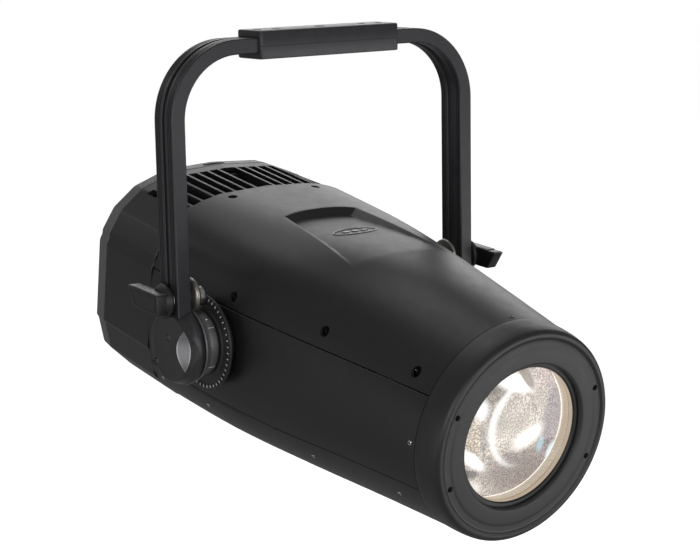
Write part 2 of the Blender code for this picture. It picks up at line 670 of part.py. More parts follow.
def rail_rods(head):
    for side, x in (("left", -ROD_X), ("right", ROD_X)):
        rod(f"guide_rod_{side}", ROD_RADIUS, FRONT_BULKHEAD - 1, GATE_BULKHEAD + 5, STEEL, head,
            (x, 0, ROD_Z), "Y", 16)


def carriage(name, y, lens_radius, screw_x, head):
    """A lens carriage on both guide rods, with its lens, its lead screw and the screw's motor."""
    half = CARRIAGE_THICK / 2
    place = (0, y, -OPTICAL_DROP)
    inner, outer = lens_radius + GAP, lens_radius + 8
    frame = tube(f"{name}_carriage", inner, outer, -half, half, LEVER_PLASTIC, head, place, "Y", 32)
    foot = box(f"{name}_foot", (-ROD_X - 8, y - half, SCREW_Z - 7), (ROD_X + 8, y + half, ROD_Z + 9),
               LEVER_PLASTIC, head)
    combine(frame, foot, "UNION")
    cut_round(frame, lens_radius + GAP, y - 20, y + 20, head, (0, 0, -OPTICAL_DROP), "Y", 32)
    for x in (-ROD_X, ROD_X):
        cut_round(frame, ROD_RADIUS + GAP, y - 20, y + 20, head, (x, 0, ROD_Z), "Y", 16)
    for x in (-SCREW_X, SCREW_X):
        room = SCREW_RADIUS + (GAP if x == screw_x else 1.5)
        cut_round(frame, room, y - 20, y + 20, head, (x, 0, SCREW_Z), "Y", 16)
    lens = dome(lens_radius, -half + 1, half - 3, 2.5, 4)
    turned(f"{name}_lens", lens, GLASS, head, place, "Y", 24)
    rod(f"{name}_screw", SCREW_RADIUS, FRONT_BULKHEAD + 12, GATE_BULKHEAD + 8, BRASS, head,
        (screw_x, 0, SCREW_Z), "Y", 12)
    start = GATE_BULKHEAD + 9
    box(f"{name}_motor", (screw_x - 14, start, SCREW_Z - 14), (screw_x + 14, start + 26, SCREW_Z + 14),
        SCREW_STEEL, head)


def gate_parts(head):
    """Iris, colour wheel and the wheel's motor, between the gate bulkhead and the light engine."""
    centre = (0, 0, -OPTICAL_DROP)
    tube("iris_frame", 34, 42, -50, -44, LEVER_PLASTIC, head, centre, "Y", 24)
    ring = tube("iris_ring", 16, 33.4, -49.4, -45.5, STEEL, head, centre, "Y", 24)
    lug = box("iris_lug", (-2.5, -49.4, 20), (2.5, -45.5, 23.2), STEEL, head)
    combine(ring, lug, "UNION")
    place = (WHEEL_X, 0, WHEEL_Z)
    wheel = rod("colour_wheel", WHEEL_RADIUS, -26, -24, BARE_ALUMINIUM, head, place, "Y", 32)
    reach = math.hypot(WHEEL_X, WHEEL_Z + OPTICAL_DROP)
    start = math.atan2(-OPTICAL_DROP - WHEEL_Z, -WHEEL_X)
    for k in range(5):
        turn = start + math.tau * k / 5
        spot = (WHEEL_X + reach * 0.6 * math.cos(turn), 0, WHEEL_Z + reach * 0.6 * math.sin(turn))
        cut_round(wheel, 13, -30, -20, head, spot, "Y", 16)
    cut_round(wheel, 3.3, -30, -20, head, place, "Y", 12)
    box("wheel_motor", (WHEEL_X - 14, -18, WHEEL_Z - 14), (WHEEL_X + 14, 8, WHEEL_Z + 14), SCREW_STEEL, head)


def light_engine(head):
    """Condenser, lamp board, heat sink, fan and driver board, from the gate to the back."""
    centre = (0, 0, -OPTICAL_DROP)
    turned("condenser_lens", dome(28, 14, 24, 6), GLASS, head, centre, "Y", 20)
    box("led_board", (-38, 38, -46), (38, 41, 30), BOARD, head)
    sink = box("heat_sink", (-72, 42, -76), (72, 50, 64), BARE_ALUMINIUM, head)
    for k in range(11):
        x = -70 + 14 * k
        fin = box(f"sink_fin_{k}", (x - 1.5, 48, -76), (x + 1.5, 128, 64), BARE_ALUMINIUM, head)
        combine(sink, fin, "UNION")
    frame = box("fan_frame", (-54, 134, -60), (54, 158, 48), LEVER_PLASTIC, head)
    cut_round(frame, FAN_RADIUS + 3, 130, 155, head, (0, 0, -6), "Y", 24)
    for k in range(4):
        turn = math.tau * (k + 0.5) / 4
        place = (30 * math.cos(turn), 0, 30 * math.sin(turn) - 6)
        cut_round(frame, 12, 150, 162, head, place, "Y", 12)
    hub_radius, fan_y, fan_z = 16.0, 144.0, -6.0
    rotor = rod("fan_rotor", hub_radius, -9, 9, LEVER_PLASTIC, head, (0, fan_y, fan_z), "Y", 16)
    for k in range(FAN_BLADES):
        turn = math.tau * k / FAN_BLADES
        blade = box(f"fan_blade_{k}", (hub_radius - 4, -1, -4.2), (FAN_RADIUS, 1, 4.2), LEVER_PLASTIC, head)
        spin = Matrix.Translation((0, fan_y * MM, fan_z * MM)) @ Matrix.Rotation(turn, 4, "Y")
        tilt = Matrix.Translation(blade.location) @ Matrix.Rotation(math.radians(FAN_PITCH), 4, "X")
        blade.matrix_local = spin @ tilt
        combine(rotor, blade, "UNION")
    box("driver_board", (-70, 176, -70), (70, 178, 60), BOARD, head)


def build():
    clear_scene()
    yoke = empty("yoke_frame", (0, 0, -BLOCK_TOP))
    head = empty("head_frame", (0, 0, 0), TILT_AT_REST, yoke)
    yoke_bar(yoke)
    clamp_block(yoke)
    for side, sign in (("left", -1), ("right", 1)):
        end_cap(side, sign, yoke)
        hub(side, sign, yoke)
        clamp_washer(side, sign, yoke)
        lever(side, sign, yoke)
        index_disc(side, sign, head)
        pivot_shaft(side, sign, head)
    head_covers(head)
    rear_housing(head)
    rear_cover(head)
    rear_fittings(head)
    front_parts(head)
    chassis(head)
    rail_rods(head)
    carriage("zoom", ZOOM_Y, 52, -SCREW_X, head)
    carriage("focus", FOCUS_Y, 44, SCREW_X, head)
    gate_parts(head)
    light_engine(head)


build()
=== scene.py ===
"""Looks of the follow spot: covers, grille, yoke, pivots, lens and back panel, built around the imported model.

Lengths in the builders below are millimetres. Pieces of the head are drawn in the head's own frame, whose
origin is on the tilt axis and whose y runs back along the beam. Pieces of the yoke are drawn from the same
origin, upright.
"""

import math

import bmesh
import bpy
from mathutils import Matrix, Vector


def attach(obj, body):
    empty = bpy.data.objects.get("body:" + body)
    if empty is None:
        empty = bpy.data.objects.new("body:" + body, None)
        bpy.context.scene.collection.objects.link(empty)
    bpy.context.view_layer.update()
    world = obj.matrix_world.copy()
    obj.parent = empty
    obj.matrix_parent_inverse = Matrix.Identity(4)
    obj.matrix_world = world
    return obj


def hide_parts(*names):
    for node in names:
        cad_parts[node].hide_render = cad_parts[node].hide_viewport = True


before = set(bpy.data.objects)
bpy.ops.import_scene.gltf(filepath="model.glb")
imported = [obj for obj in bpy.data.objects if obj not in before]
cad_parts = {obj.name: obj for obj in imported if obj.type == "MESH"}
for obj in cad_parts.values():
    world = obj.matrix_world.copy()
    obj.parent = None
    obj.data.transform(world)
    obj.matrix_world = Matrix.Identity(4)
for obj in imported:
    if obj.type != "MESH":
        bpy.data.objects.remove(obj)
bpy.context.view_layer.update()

MM = 0.001
PIVOT_DROP = 305.0
TILT_AT_REST = math.radians(9.27)
OPTICAL_DROP = 8.6
YOKE = Matrix.Translation((0, 0, -PIVOT_DROP * MM))
HEAD = YOKE @ Matrix.Rotation(TILT_AT_REST, 4, "X")

# Covers: y, half width, height, depth, and how square the section is
SECTIONS = (
    (-286.5, 106.0, 106.0, 106.0, 2.0),
    (-200.0, 116.0, 115.5, 111.0, 2.12),
    (-100.0, 128.0, 120.5, 114.0, 2.45),
    (0.0, 138.5, 122.0, 115.0, 2.8),
    (120.0, 140.0, 121.0, 114.0, 3.2),
)
WALL = 3.0
SEAM_ABOVE = 47.0
SEAM_BELOW_FRONT = -45.0
SEAM_BELOW_BACK = -56.5
SEAM_LEVELS_OUT = -90.0
SEAM_GAP = 0.4
FRONT_SEAM = -286.5
COVER_BACK = 120.0
POCKET_BACK = 30.0
POCKET_FRONT = -117.0
POCKET_DEPTH = 7.5
POCKET_SLOPE = 8.0
POCKET_HALF = 45.0
POCKET_DEEPEST_AT = 22.0
POCKET_TAPER = 0.1
POCKET_BOW = 8.0
POCKET_COLUMNS = (0.0, 0.12, 0.24, 0.36, 0.48, 0.6, 0.7, 0.78, 0.82, 0.85, 0.88, 0.91, 0.94, 0.97, 0.99,
                  1.01, 1.04, 1.08, 1.14, 1.22, 1.32)
CREASE_LEVEL = 84.0
CREASE_RISE = 8.0
CREASE_DEPTH = 2.0
CREASE_WIDTH = 9.0
CREASE_RETURN = 24.0
SUNK_HOLE = 5.0
FRONT_HOLE = 3.2
TOP_HOLES = ((-53.5, 106.0), (53.5, 106.0), (0.0, -279.5))
SIDE_HOLES = ((-18.0, 58.6), (-144.5, 62.6), (-260.6, 60.6))

# Rear housing: right half of its outline, x and height over the optical axis
HOUSING_RIGHT = (
    (0.0, 121.0), (60.0, 117.5), (99.0, 102.5), (124.0, 81.0), (137.0, 57.0), (137.0, 52.5), (140.0, 46.0),
    (140.0, -42.0), (137.6, -45.0), (129.0, -76.0), (100.0, -102.0), (66.0, -112.5), (0.0, -115.0),
)
SHOULDER_X = 99.0
SHOULDER_RISE = 3.5
HOUSING_ROUNDING = 2.5
HOUSING_FRONT = 120.6
HOUSING_BACK = 214.0
BACK_FACE = 238.0
GRILLE_FRONT = 124.0
GRILLE_BACK = 200.0
GRILLE_BAR = 2.8
GRILLE_FIRST_BAR = 11.7
GRILLE_PITCH = 13.3
GRILLE_BARS = 7
GRILLE_EDGE = 101.0

# Yoke
BAR_CENTRE = 180.0
BAR_THICK = 15.0
BAR_DEPTH = 33.4
BAR_TOP = 298.0
BAR_END = -12.0
BEND_RADIUS = 69.5
BLOCK_TOP = 305.0
BLOCK_SEAM = 290.0
BLOCK_BOTTOM = 277.0
BLOCK_HALF_LENGTH = 86.0
BLOCK_HALF_DEPTH = 20.8
BLOCK_CORNER = 3.0
MIDDLE_HOLE = 6.1
# across, radius
BLOCK_HOLES = ((53.0, 4.5), (75.5, 4.4))
FIT = 0.3
CAP_FACE = 190.0
CAP_LIP = 176.0
SCOOP_START = Vector((CAP_FACE + 0.2, 14.7))
SCOOP_WAY = Vector((-9.2, 20.3)).normalized()
SCOOP_OUT = Vector((20.3, 9.2)).normalized()
SCOOP_RADIUS = 46.2
SCOOP_HALF = 20.5
CAP_SCREWS = ((1.0, 9.5), (25.0, -18.5))
DISC_OUTER = 151.0
LEVER_AXIS = 47.0
LEVER_TILT = 4.5
LEVER_OUTLINE = ((-11.0, -7.4), (27.5, -7.2), (36.0, 6.2), (-10.0, 7.0))
BOLT_HOLE = 5.5
DISC_TEETH = 46
HUB_RADIUS = 33.0
SHAFT_RADIUS = 12.0

# Front
FACE = -316.5
AXIS_CENTRE = (0, 0, -OPTICAL_DROP)
PLATE_RADIUS = 95.2
FACE_SCREW_CIRCLE = 91.0
LENS_RADIUS = 66.0
LENS_STEPS = 128
FACE_HOLE_ANGLES = (22.5, 157.5, 202.5, 337.5)

# Back panel
DISPLAY_HALF = 36.0
DISPLAY_LEVELS = (12.0, 48.0)
INLET_HALF = (17.0, 14.0)
VENT_HALF = 1.6
VENT_PITCH = 8
VENT_REACH = (82, 126)
# across, sunk by, levels
BACK_SCREWS = ((118, 1.4, (44, -66)), (60, 1.0, (96, -104)))
KEY_HOLE = 5.6
KEY_PLACES = {"menu": -30.0, "down": -10.0, "up": 10.0, "enter": 30.0}
KEY_LEVEL = -4.0
INLET = (-65.0, -50.0)
DATA_PLACES = {"data_in": -20.0, "data_out": 12.0}
DATA_LEVEL = -50.0
DATA_RADIUS = 12.0

# Camera and light
AZIMUTH = math.radians(-36.63)
ELEVATION = math.radians(11.09)
ROLL = math.radians(-0.94)
DISTANCE = 1.95
AIM = Vector((0.0265, -0.0097, -0.2642))
LENS_MM = 96.047
FLOOR_LEVEL = -1.4
SKY_LIGHT = 0.15
SKY_GLOSS = 0.24
LAMPS = (
    # name, place, size, power
    ("back_wall", (1.75, 2.05, 0.75), (2.6, 1.7), 21.0),
    ("floor_bounce", (1.7, -2.2, -1.1), (2.4, 1.4), 20.0),
    ("overhead", (0.2, 1.2, 2.2), (1.6, 1.2), 8.0),
    ("left_fill", (-2.4, 0.2, -0.6), (1.6, 1.6), 5.0),
    ("front_fill", (-0.4, -2.8, -0.1), (2.0, 2.0), 18.0),
    ("corner_strip", (-2.3, -1.8, 0.1), (0.7, 1.6), 15.0),
    ("back_left", (-0.9, 2.05, 0.8), (0.5, 0.5), 1.0),
)

# How fast a finish's colour drifts across a piece
DRIFT = 14.0


# ---------------------------------------------------------------- nodes and finishes


def node(tree, kind, inputs=(), **settings):
    """Adds a node. Settings are its own properties; inputs are values or sockets, by name or number."""
    made = tree.nodes.new(kind)
    for name, value in settings.items():
        setattr(made, name, value)
    for socket, value in dict(inputs).items():
        if isinstance(value, bpy.types.NodeSocket):
            tree.links.new(value, made.inputs[socket])
        else:
            made.inputs[socket].default_value = value
    return made


def ramp(tree, factor, low, high, start=0.3, end=0.7):
    """A grey or coloured value that runs from low to high as factor goes from start to end."""
    made = node(tree, "ShaderNodeValToRGB", {0: factor})
    for stop, place, value in zip(made.color_ramp.elements, (start, end), (low, high)):
        stop.position = place
        stop.color = (*value, 1.0) if hasattr(value, "__len__") else (value, value, value, 1.0)
    return made.outputs[0]


def noise(tree, place, scale, detail=3.0, rough=0.5):
    inputs = {"Vector": place, "Scale": scale, "Detail": detail, "Roughness": rough}
    return node(tree, "ShaderNodeTexNoise", inputs).outputs["Fac"]


def new_finish(name):
    """A new material, with its tree, its shader and the coordinates of the piece."""
    made = bpy.data.materials.new(name)
    made.use_nodes = True
    tree = made.node_tree
    place = node(tree, "ShaderNodeTexCoord").outputs["Object"]
    return made, tree, tree.nodes["Principled BSDF"], place


def finish(name, dark, light, gloss, metal=0.0, stretch=(1, 1, 1), grain=1400.0, depth=0.02, coat=0.0):
    """A finish whose colour drifts between two tones, whose roughness varies, and whose grain is a fine bump.

    gloss is the lowest and highest roughness; stretch draws the grain out along an axis, as brushing does.
    """
    made, tree, shader, place = new_finish(name)
    drawn = node(tree, "ShaderNodeMapping", {"Vector": place, "Scale": stretch}).outputs[0]
    broad = noise(tree, place, DRIFT)
    fine = noise(tree, drawn, grain, 2.0, 0.6)
    handled = noise(tree, drawn, DRIFT * 6, 4.0, 0.65)
    mixed = node(tree, "ShaderNodeMath", {0: broad, 1: handled}, operation="ADD")
    half = node(tree, "ShaderNodeMath", {0: mixed.outputs[0], 1: 0.5}, operation="MULTIPLY")
    tree.links.new(ramp(tree, half.outputs[0], dark, light), shader.inputs["Base Color"])
    tree.links.new(ramp(tree, handled, gloss[0], gloss[1]), shader.inputs["Roughness"])
    bump = node(tree, "ShaderNodeBump", {"Height": fine, "Strength": 0.5, "Distance": depth * MM})
    tree.links.new(bump.outputs[0], shader.inputs["Normal"])
    shader.inputs["Metallic"].default_value = metal
    shader.inputs["Coat Weight"].default_value = coat
    return made


def glass(name, tint, grain=0.0):
    """Clear glass with a trace of dust in its roughness."""
    made, tree, shader, place = new_finish(name)
    dust = noise(tree, place, 900.0, 2.0)
    tree.links.new(ramp(tree, dust, grain, grain + 0.03, 0.55, 0.8), shader.inputs["Roughness"])
    tree.links.new(ramp(tree, dust, tint, (1, 1, 1)), shader.inputs["Base Color"])
    shader.inputs["Transmission Weight"].default_value = 1.0
    shader.inputs["IOR"].default_value = 1.45
    return made


COVER = finish("satin_black_cover", (0.0125, 0.0125, 0.013), (0.0165, 0.0165, 0.017), (0.36, 0.42),
               depth=0.03)
RING = finish("bezel_black", (0.017, 0.017, 0.018), (0.022, 0.022, 0.023), (0.38, 0.46))
PLATE = finish("face_plate_grey", (0.028, 0.028, 0.029), (0.036, 0.036, 0.037), (0.42, 0.5))
PAINT = finish("yoke_charcoal", (0.034, 0.034, 0.038), (0.046, 0.046, 0.051), (0.34, 0.44), metal=0.25,
               grain=900.0)
CAP = finish("cap_charcoal", (0.046, 0.046, 0.05), (0.062, 0.062, 0.066), (0.3, 0.38), metal=0.4)
# Far lighter than the yoke paint the hub wears: this grey stands for the highlight on the barrel's curve, a
# painted highlight.
BARREL = finish("barrel_grey", (0.2, 0.2, 0.206), (0.26, 0.26, 0.268), (0.36, 0.46), metal=0.7)
DISC = finish("index_disc_black", (0.02, 0.02, 0.021), (0.028, 0.028, 0.029), (0.4, 0.5))
NYLON = finish("lever_nylon", (0.014, 0.014, 0.015), (0.02, 0.02, 0.021), (0.34, 0.44), grain=700.0,
               depth=0.06)
# Lighter copy of the lever nylon for the arm's top faces: a painted highlight where they face the overhead
# light.
HIGHLIGHT_NYLON = finish("lever_top", (0.11, 0.11, 0.115), (0.15, 0.15, 0.155), (0.3, 0.4), grain=500.0)
PAN = finish("rear_pan_grey", (0.11, 0.11, 0.112), (0.145, 0.145, 0.147), (0.4, 0.52), depth=0.04)
# Pale grey strips on the grille's top edges: a painted highlight on the black bars.
BLADE_EDGE_HIGHLIGHT = finish("blade_grey", (0.1, 0.1, 0.1), (0.14, 0.14, 0.14), (0.35, 0.5))
BARE = finish("turned_aluminium", (0.26, 0.25, 0.22), (0.38, 0.36, 0.32), (0.25, 0.4), metal=0.85,
              grain=1100.0)
SILVER = finish("milled_flat", (0.27, 0.27, 0.28), (0.36, 0.36, 0.37), (0.3, 0.42), metal=0.7,
                stretch=(1, 1, 8))
STEEL = finish("bright_steel", (0.42, 0.42, 0.43), (0.6, 0.6, 0.61), (0.2, 0.34), metal=1.0)
DARK_STEEL = finish("blackened_steel", (0.025, 0.025, 0.026), (0.05, 0.05, 0.052), (0.28, 0.42), metal=0.9)
SINK = finish("anodised_sink", (0.02, 0.02, 0.021), (0.035, 0.035, 0.036), (0.4, 0.5), metal=0.6)
BOARD = finish("solder_mask", (0.008, 0.05, 0.02), (0.015, 0.09, 0.035), (0.3, 0.45), grain=500.0)
BRASS = finish("machined_brass", (0.45, 0.32, 0.12), (0.62, 0.45, 0.2), (0.25, 0.4), metal=1.0)
MARK = finish("gloss_black_mark", (0.006, 0.006, 0.006), (0.01, 0.01, 0.01), (0.1, 0.18), coat=0.5)
SCREEN = finish("display_window", (0.004, 0.005, 0.006), (0.01, 0.012, 0.014), (0.05, 0.1), coat=0.8)
PALE = finish("printed_line", (0.58, 0.58, 0.58), (0.7, 0.7, 0.7), (0.5, 0.6))
CLEAR = glass("lens_glass", (0.96, 0.98, 0.97))
COATED = glass("condenser_glass", (0.9, 0.94, 0.96), 0.04)


# ---------------------------------------------------------------- shapes


def linked(name, mesh):
    made = bpy.data.objects.new(name, mesh)
    bpy.context.scene.collection.objects.link(made)
    return made


def smooth(mesh, sharp):
    """Shades the mesh smooth, but for edges sharper than the angle in degrees."""
    mesh.shade_smooth()
    mesh.set_sharp_from_angle(angle=math.radians(sharp))


def shape(name, verts, faces, skin, place=HEAD, sharp=32.0):
    """A closed mesh from corners in millimetres, put in its place, smooth but for its sharp edges."""
    mesh = bpy.data.meshes.new(name)
    mesh.from_pydata([place @ (Vector(v) * MM) for v in verts], [], faces)
    work = bmesh.new()
    work.from_mesh(mesh)
    bmesh.ops.remove_doubles(work, verts=work.verts[:], dist=1e-7)
    bmesh.ops.recalc_face_normals(work, faces=work.faces[:])
    work.to_mesh(mesh)
    work.free()
    smooth(mesh, sharp)
    mesh.materials.append(skin)
    return linked(name, mesh)


def loft(name, loops, skin, place=HEAD, closed=False, sharp=32.0):
    """Joins loops of equal length with quads, and caps the ends or closes the last loop on the first."""
    count = len(loops[0])
    verts = [corner for loop in loops for corner in loop]
    faces = []
    for i in range(len(loops) if closed else len(loops) - 1):
        here, after = i * count, (i + 1) % len(loops) * count
        for k in range(count):
            nxt = (k + 1) % count
            faces.append((here + k, here + nxt, after + nxt, after + k))
    if not closed:
        faces.append(tuple(range(count)))
        faces.append(tuple((len(loops) - 1) * count + k for k in range(count)))
    return shape(name, verts, faces, skin, place, sharp)


def bend(here, before, after, reach):
    """Points of a rounded corner, which starts and ends at reach from it."""
    steps = 3
    start, end = here + before.normalized() * reach, here + after.normalized() * reach
    shares = [k / steps for k in range(steps + 1)]
    return [start * (1 - t) ** 2 + here * 2 * t * (1 - t) + end * t * t for t in shares]


def filleted(outline, radius):
    """The closed outline with its corners rounded by radius, or by their own, but not those on the axis."""
    rounded = []
    for i, point in enumerate(outline):
        here = Vector(point[:2])
        before = Vector(outline[i - 1][:2]) - here
        after = Vector(outline[(i + 1) % len(outline)][:2]) - here
        own = point[2] if len(point) > 2 else radius
        reach = min(own, 0.45 * before.length, 0.45 * after.length)
        if reach < 0.01 or abs(here.x) < 0.01:
            rounded.append(here)
        else:
            rounded += bend(here, before, after, reach)
    return rounded


def stitched(pairs, steps):
    """The faces between each pair of rings, where a ring of one corner is a pole."""
    faces = []
    for here, after in pairs:
        for k in range(steps):
            nxt = (k + 1) % steps
            corners = (here[k % len(here)], here[nxt % len(here)],
                       after[nxt % len(after)], after[k % len(after)])
            corners = list(dict.fromkeys(corners))
            if len(corners) > 2:
                faces.append(corners)
    return faces


AXES = {"X": Matrix.Rotation(math.pi / 2, 4, "Y"), "Y": Matrix.Rotation(-math.pi / 2, 4, "X"), "Z": Matrix()}


def spun(name, outline, skin, place=HEAD, centre=(0, 0, 0), axis="Z", steps=72, radius=0.5, sharp=32.0,
         side=1):
    """A body turned about an axis from a closed outline of (radius, height, and a corner's own rounding)."""
    seat = place @ Matrix.Translation(Vector(centre) * MM) @ AXES[axis]
    rings, verts = [], []
    for r, h in filleted(outline, radius):
        count = steps if r > 0.01 else 1
        rings.append([len(verts) + k for k in range(count)])
        for k in range(count):
            angle = math.tau * (k + 0.5) / steps
            verts.append((r * math.cos(angle), r * math.sin(angle), side * h))
    faces = stitched(zip(rings, rings[1:] + rings[:1]), steps)
    return shape(name, verts, faces, skin, seat, sharp)


def block(name, low, high, skin, place=HEAD, round_off=0.8):
    """A block between two corners, with rounded edges."""
    x, y, z = zip(low, high)
    verts = [(a, b, c) for a in x for b in y for c in z]
    faces = [(0, 1, 3, 2), (4, 6, 7, 5), (0, 4, 5, 1), (2, 3, 7, 6), (0, 2, 6, 4), (1, 5, 7, 3)]
    made = shape(name, verts, faces, skin, place)
    return softened(made, round_off) if round_off else made


def plain(obj):
    """Leaves the evaluated shape as an ordinary mesh, with no modifiers."""
    graph = bpy.context.evaluated_depsgraph_get()
    mesh = bpy.data.meshes.new_from_object(obj.evaluated_get(graph), depsgraph=graph)
    mesh.name = obj.name
    obj.modifiers.clear()
    obj.data = mesh
    return obj


def softened(obj, width, segments=3, angle=30.0):
    bevel = obj.modifiers.new("edges", "BEVEL")
    bevel.width = width * MM
    bevel.segments = segments
    bevel.limit_method = "ANGLE"
    bevel.angle_limit = math.radians(angle)
    plain(obj)
    smooth(obj.data, 40)
    return obj


def joined(name, pieces):
    """One mesh from several, which need not touch."""
    work = bmesh.new()
    mesh = bpy.data.meshes.new(name)
    for piece in pieces:
        work.from_mesh(piece.data)
    work.to_mesh(mesh)
    work.free()
    mesh.materials.append(pieces[0].data.materials[0])
    for piece in pieces:
        bpy.data.objects.remove(piece)
    return linked(name, mesh)


def cut(obj, cutters, operation="DIFFERENCE"):
    """Takes the cutters out of the piece, and keeps its faces smooth."""
    tool = joined(f"{obj.name}_cutters", cutters)
    boolean = obj.modifiers.new("cut", "BOOLEAN")
    boolean.operation = operation
    boolean.solver = "MANIFOLD"
    boolean.object = tool
    plain(obj)
    bpy.data.objects.remove(tool)
    smooth(obj.data, 30)


def drill(radius, start, end, centre, axis="Z", place=HEAD, steps=32):
    outline = ((0, start), (radius, start), (radius, end), (0, end))
    return spun("drill", outline, COVER, place, centre, axis, steps, 0)


def ends(sign, near, far):
    """The lower and upper ends of a stretch that is mirrored by sign."""
    return sorted((sign * near, sign * far))


def worn_by(obj, body, slot, *nodes):
    """The piece rides on a body, and stands for any nodes named. The slot is not used."""
    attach(obj, body)
    if nodes:
        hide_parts(*nodes)


# ---------------------------------------------------------------- repeats and sweeps


def new_tree(name, sockets):
    """An empty geometry tree with the named inputs; returns it with its input and output nodes."""
    tree = bpy.data.node_groups.new(name, "GeometryNodeTree")
    tree.interface.new_socket("Geometry", in_out="INPUT", socket_type="NodeSocketGeometry")
    for label, kind in sockets:
        tree.interface.new_socket(label, in_out="INPUT", socket_type=kind)
    tree.interface.new_socket("Geometry", in_out="OUTPUT", socket_type="NodeSocketGeometry")
    return tree, tree.nodes.new("NodeGroupInput").outputs


def end_tree(tree, geometry, skin):
    """Every tree ends by making its copies real and giving them their finish."""
    real = node(tree, "GeometryNodeRealizeInstances", {"Geometry": geometry}).outputs[0]
    coated = node(tree, "GeometryNodeSetMaterial", {"Geometry": real, "Material": skin}).outputs[0]
    node(tree, "NodeGroupOutput", {"Geometry": coated})
    return tree


def ring_tree():
    """Copies of the shape around its own Z axis, each turned to face out from it."""
    sockets = (("Count", "NodeSocketInt"), ("Finish", "NodeSocketMaterial"))
    tree, given = new_tree("copies_round_an_axis", sockets)
    points = node(tree, "GeometryNodePoints", {"Count": given["Count"]}).outputs[0]
    number = node(tree, "GeometryNodeInputIndex").outputs[0]
    share = node(tree, "ShaderNodeMath", {0: number, 1: given["Count"]}, operation="DIVIDE").outputs[0]
    angle = node(tree, "ShaderNodeMath", {0: share, 1: math.tau}, operation="MULTIPLY")
    turn = node(tree, "ShaderNodeCombineXYZ", {"Z": angle.outputs[0]}).outputs[0]
    inputs = {"Points": points, "Instance": given["Geometry"], "Rotation": turn}
    copies = node(tree, "GeometryNodeInstanceOnPoints", inputs).outputs[0]
    return end_tree(tree, copies, given["Finish"])


def places_tree():
    """A copy of the piece at each point, standing along the point's own direction."""
    sockets = (("Piece", "NodeSocketObject"), ("Finish", "NodeSocketMaterial"))
    tree, given = new_tree("copies_at_places", sockets)
    piece = node(tree, "GeometryNodeObjectInfo", {"Object": given["Piece"]}).outputs["Geometry"]
    way = node(tree, "GeometryNodeInputNamedAttribute", {"Name": "direction"}, data_type="FLOAT_VECTOR")
    turn = node(tree, "FunctionNodeAlignRotationToVector", {"Vector": way.outputs[0]}, axis="Z").outputs[0]
    inputs = {"Points": given["Geometry"], "Instance": piece, "Rotation": turn}
    copies = node(tree, "GeometryNodeInstanceOnPoints", inputs).outputs[0]
    return end_tree(tree, copies, given["Finish"])


def sweep_tree():
    """The section, drawn with x across and y outwards, carried along a path that lies in an upright plane."""
    sockets = (("Section", "NodeSocketObject"), ("Finish", "NodeSocketMaterial"))
    tree, given = new_tree("section_along_a_path", sockets)
    path = node(tree, "GeometryNodeMeshToCurve", {"Mesh": given["Geometry"]}).outputs[0]
    inputs = {"Curve": path, "Normal": (0, 1, 0)}
    level = node(tree, "GeometryNodeSetCurveNormal", inputs, mode="FREE").outputs[0]
    drawn = node(tree, "GeometryNodeObjectInfo", {"Object": given["Section"]}).outputs["Geometry"]
    section = node(tree, "GeometryNodeMeshToCurve", {"Mesh": drawn}).outputs[0]
    inputs = {"Curve": level, "Profile Curve": section, "Fill Caps": True}
    swept = node(tree, "GeometryNodeCurveToMesh", inputs).outputs[0]
    return end_tree(tree, swept, given["Finish"])


RING_OF_COPIES = ring_tree()
COPIES_AT_PLACES = places_tree()
SWEPT_SECTION = sweep_tree()


def grown(obj, tree, inputs):
    """Runs a geometry tree on the object with the named inputs, and keeps the result as a plain mesh."""
    modifier = obj.modifiers.new("grown", "NODES")
    modifier.node_group = tree
    for item in tree.interface.items_tree:
        if item.in_out == "INPUT" and item.name in inputs:
            modifier[item.identifier] = inputs[item.name]
    return plain(obj)


def round_an_axis(name, seed, count, skin, place):
    """Copies of a seed, drawn in millimetres about its Z axis, around the Z axis of place."""
    seed.name = name
    grown(seed, RING_OF_COPIES, {"Count": count, "Finish": skin})
    return settle(seed, place)


def at_places(name, seed, places, skin, place=HEAD):
    """Copies of a seed at places given as (point, direction), in millimetres in the frame of place."""
    mesh = bpy.data.meshes.new(name)
    mesh.from_pydata([Vector(point) * MM for point, _ in places], [], [])
    ways = mesh.attributes.new("direction", "FLOAT_VECTOR", "POINT")
    for entry, (_, direction) in zip(ways.data, places):
        entry.vector = Vector(direction).normalized()
    grown_on = grown(linked(name, mesh), COPIES_AT_PLACES, {"Piece": seed, "Finish": skin})
    bpy.data.objects.remove(seed)
    return settle(grown_on, place)


def settle(obj, place, sharp=32.0):
    """Puts the mesh in its place, so that the object itself stays at the origin."""
    obj.data.transform(place)
    ways = obj.data.attributes.get("direction")
    if ways:
        obj.data.attributes.remove(ways)
    smooth(obj.data, sharp)
    return obj


def wire(name, points, closed):
    """Points joined by edges, as a path or a section."""
    count = len(points)
    edges = [(k, (k + 1) % count) for k in range(count if closed else count - 1)]
    mesh = bpy.data.meshes.new(name)
    mesh.from_pydata([Vector((*point, 0)[:3]) * MM for point in points], edges, [])
    return linked(name, mesh)


def swept(name, path, section, skin, place, sharp=32.0):
    drawn = wire(f"{name}_section", section, True)
    made = grown(wire(name, path, False), SWEPT_SECTION, {"Section": drawn, "Finish": skin})
    bpy.data.objects.remove(drawn)
    return settle(made, place, sharp)


def screw_seed(radius=2.6, height=1.6, socket=1.3):
    """A pan-head screw with a six-sided socket, standing on Z = 0."""
    steps = 12
    outline = ((0, height - 1.2, 0), (socket, height - 1.2, 1), (socket, height, 1),
               (radius * 0.8, height, 0), (radius, height * 0.55, 0), (radius, -0.6, 0), (0, -0.6, 0))
    verts, rings = [], []
    for r, h, six_sided in outline:
        count = steps if r else 1
        rings.append([len(verts) + k for k in range(count)])
        for k in range(count):
            angle = math.tau * k / steps
            reach = r * (math.cos(math.pi / 6) if six_sided and k % 2 else 1.0)
            verts.append((reach * math.cos(angle), reach * math.sin(angle), h))
    faces = stitched(zip(rings, rings[1:]), steps)
    return shape("screw_seed", verts, faces, DARK_STEEL, Matrix())


# ---------------------------------------------------------------- covers


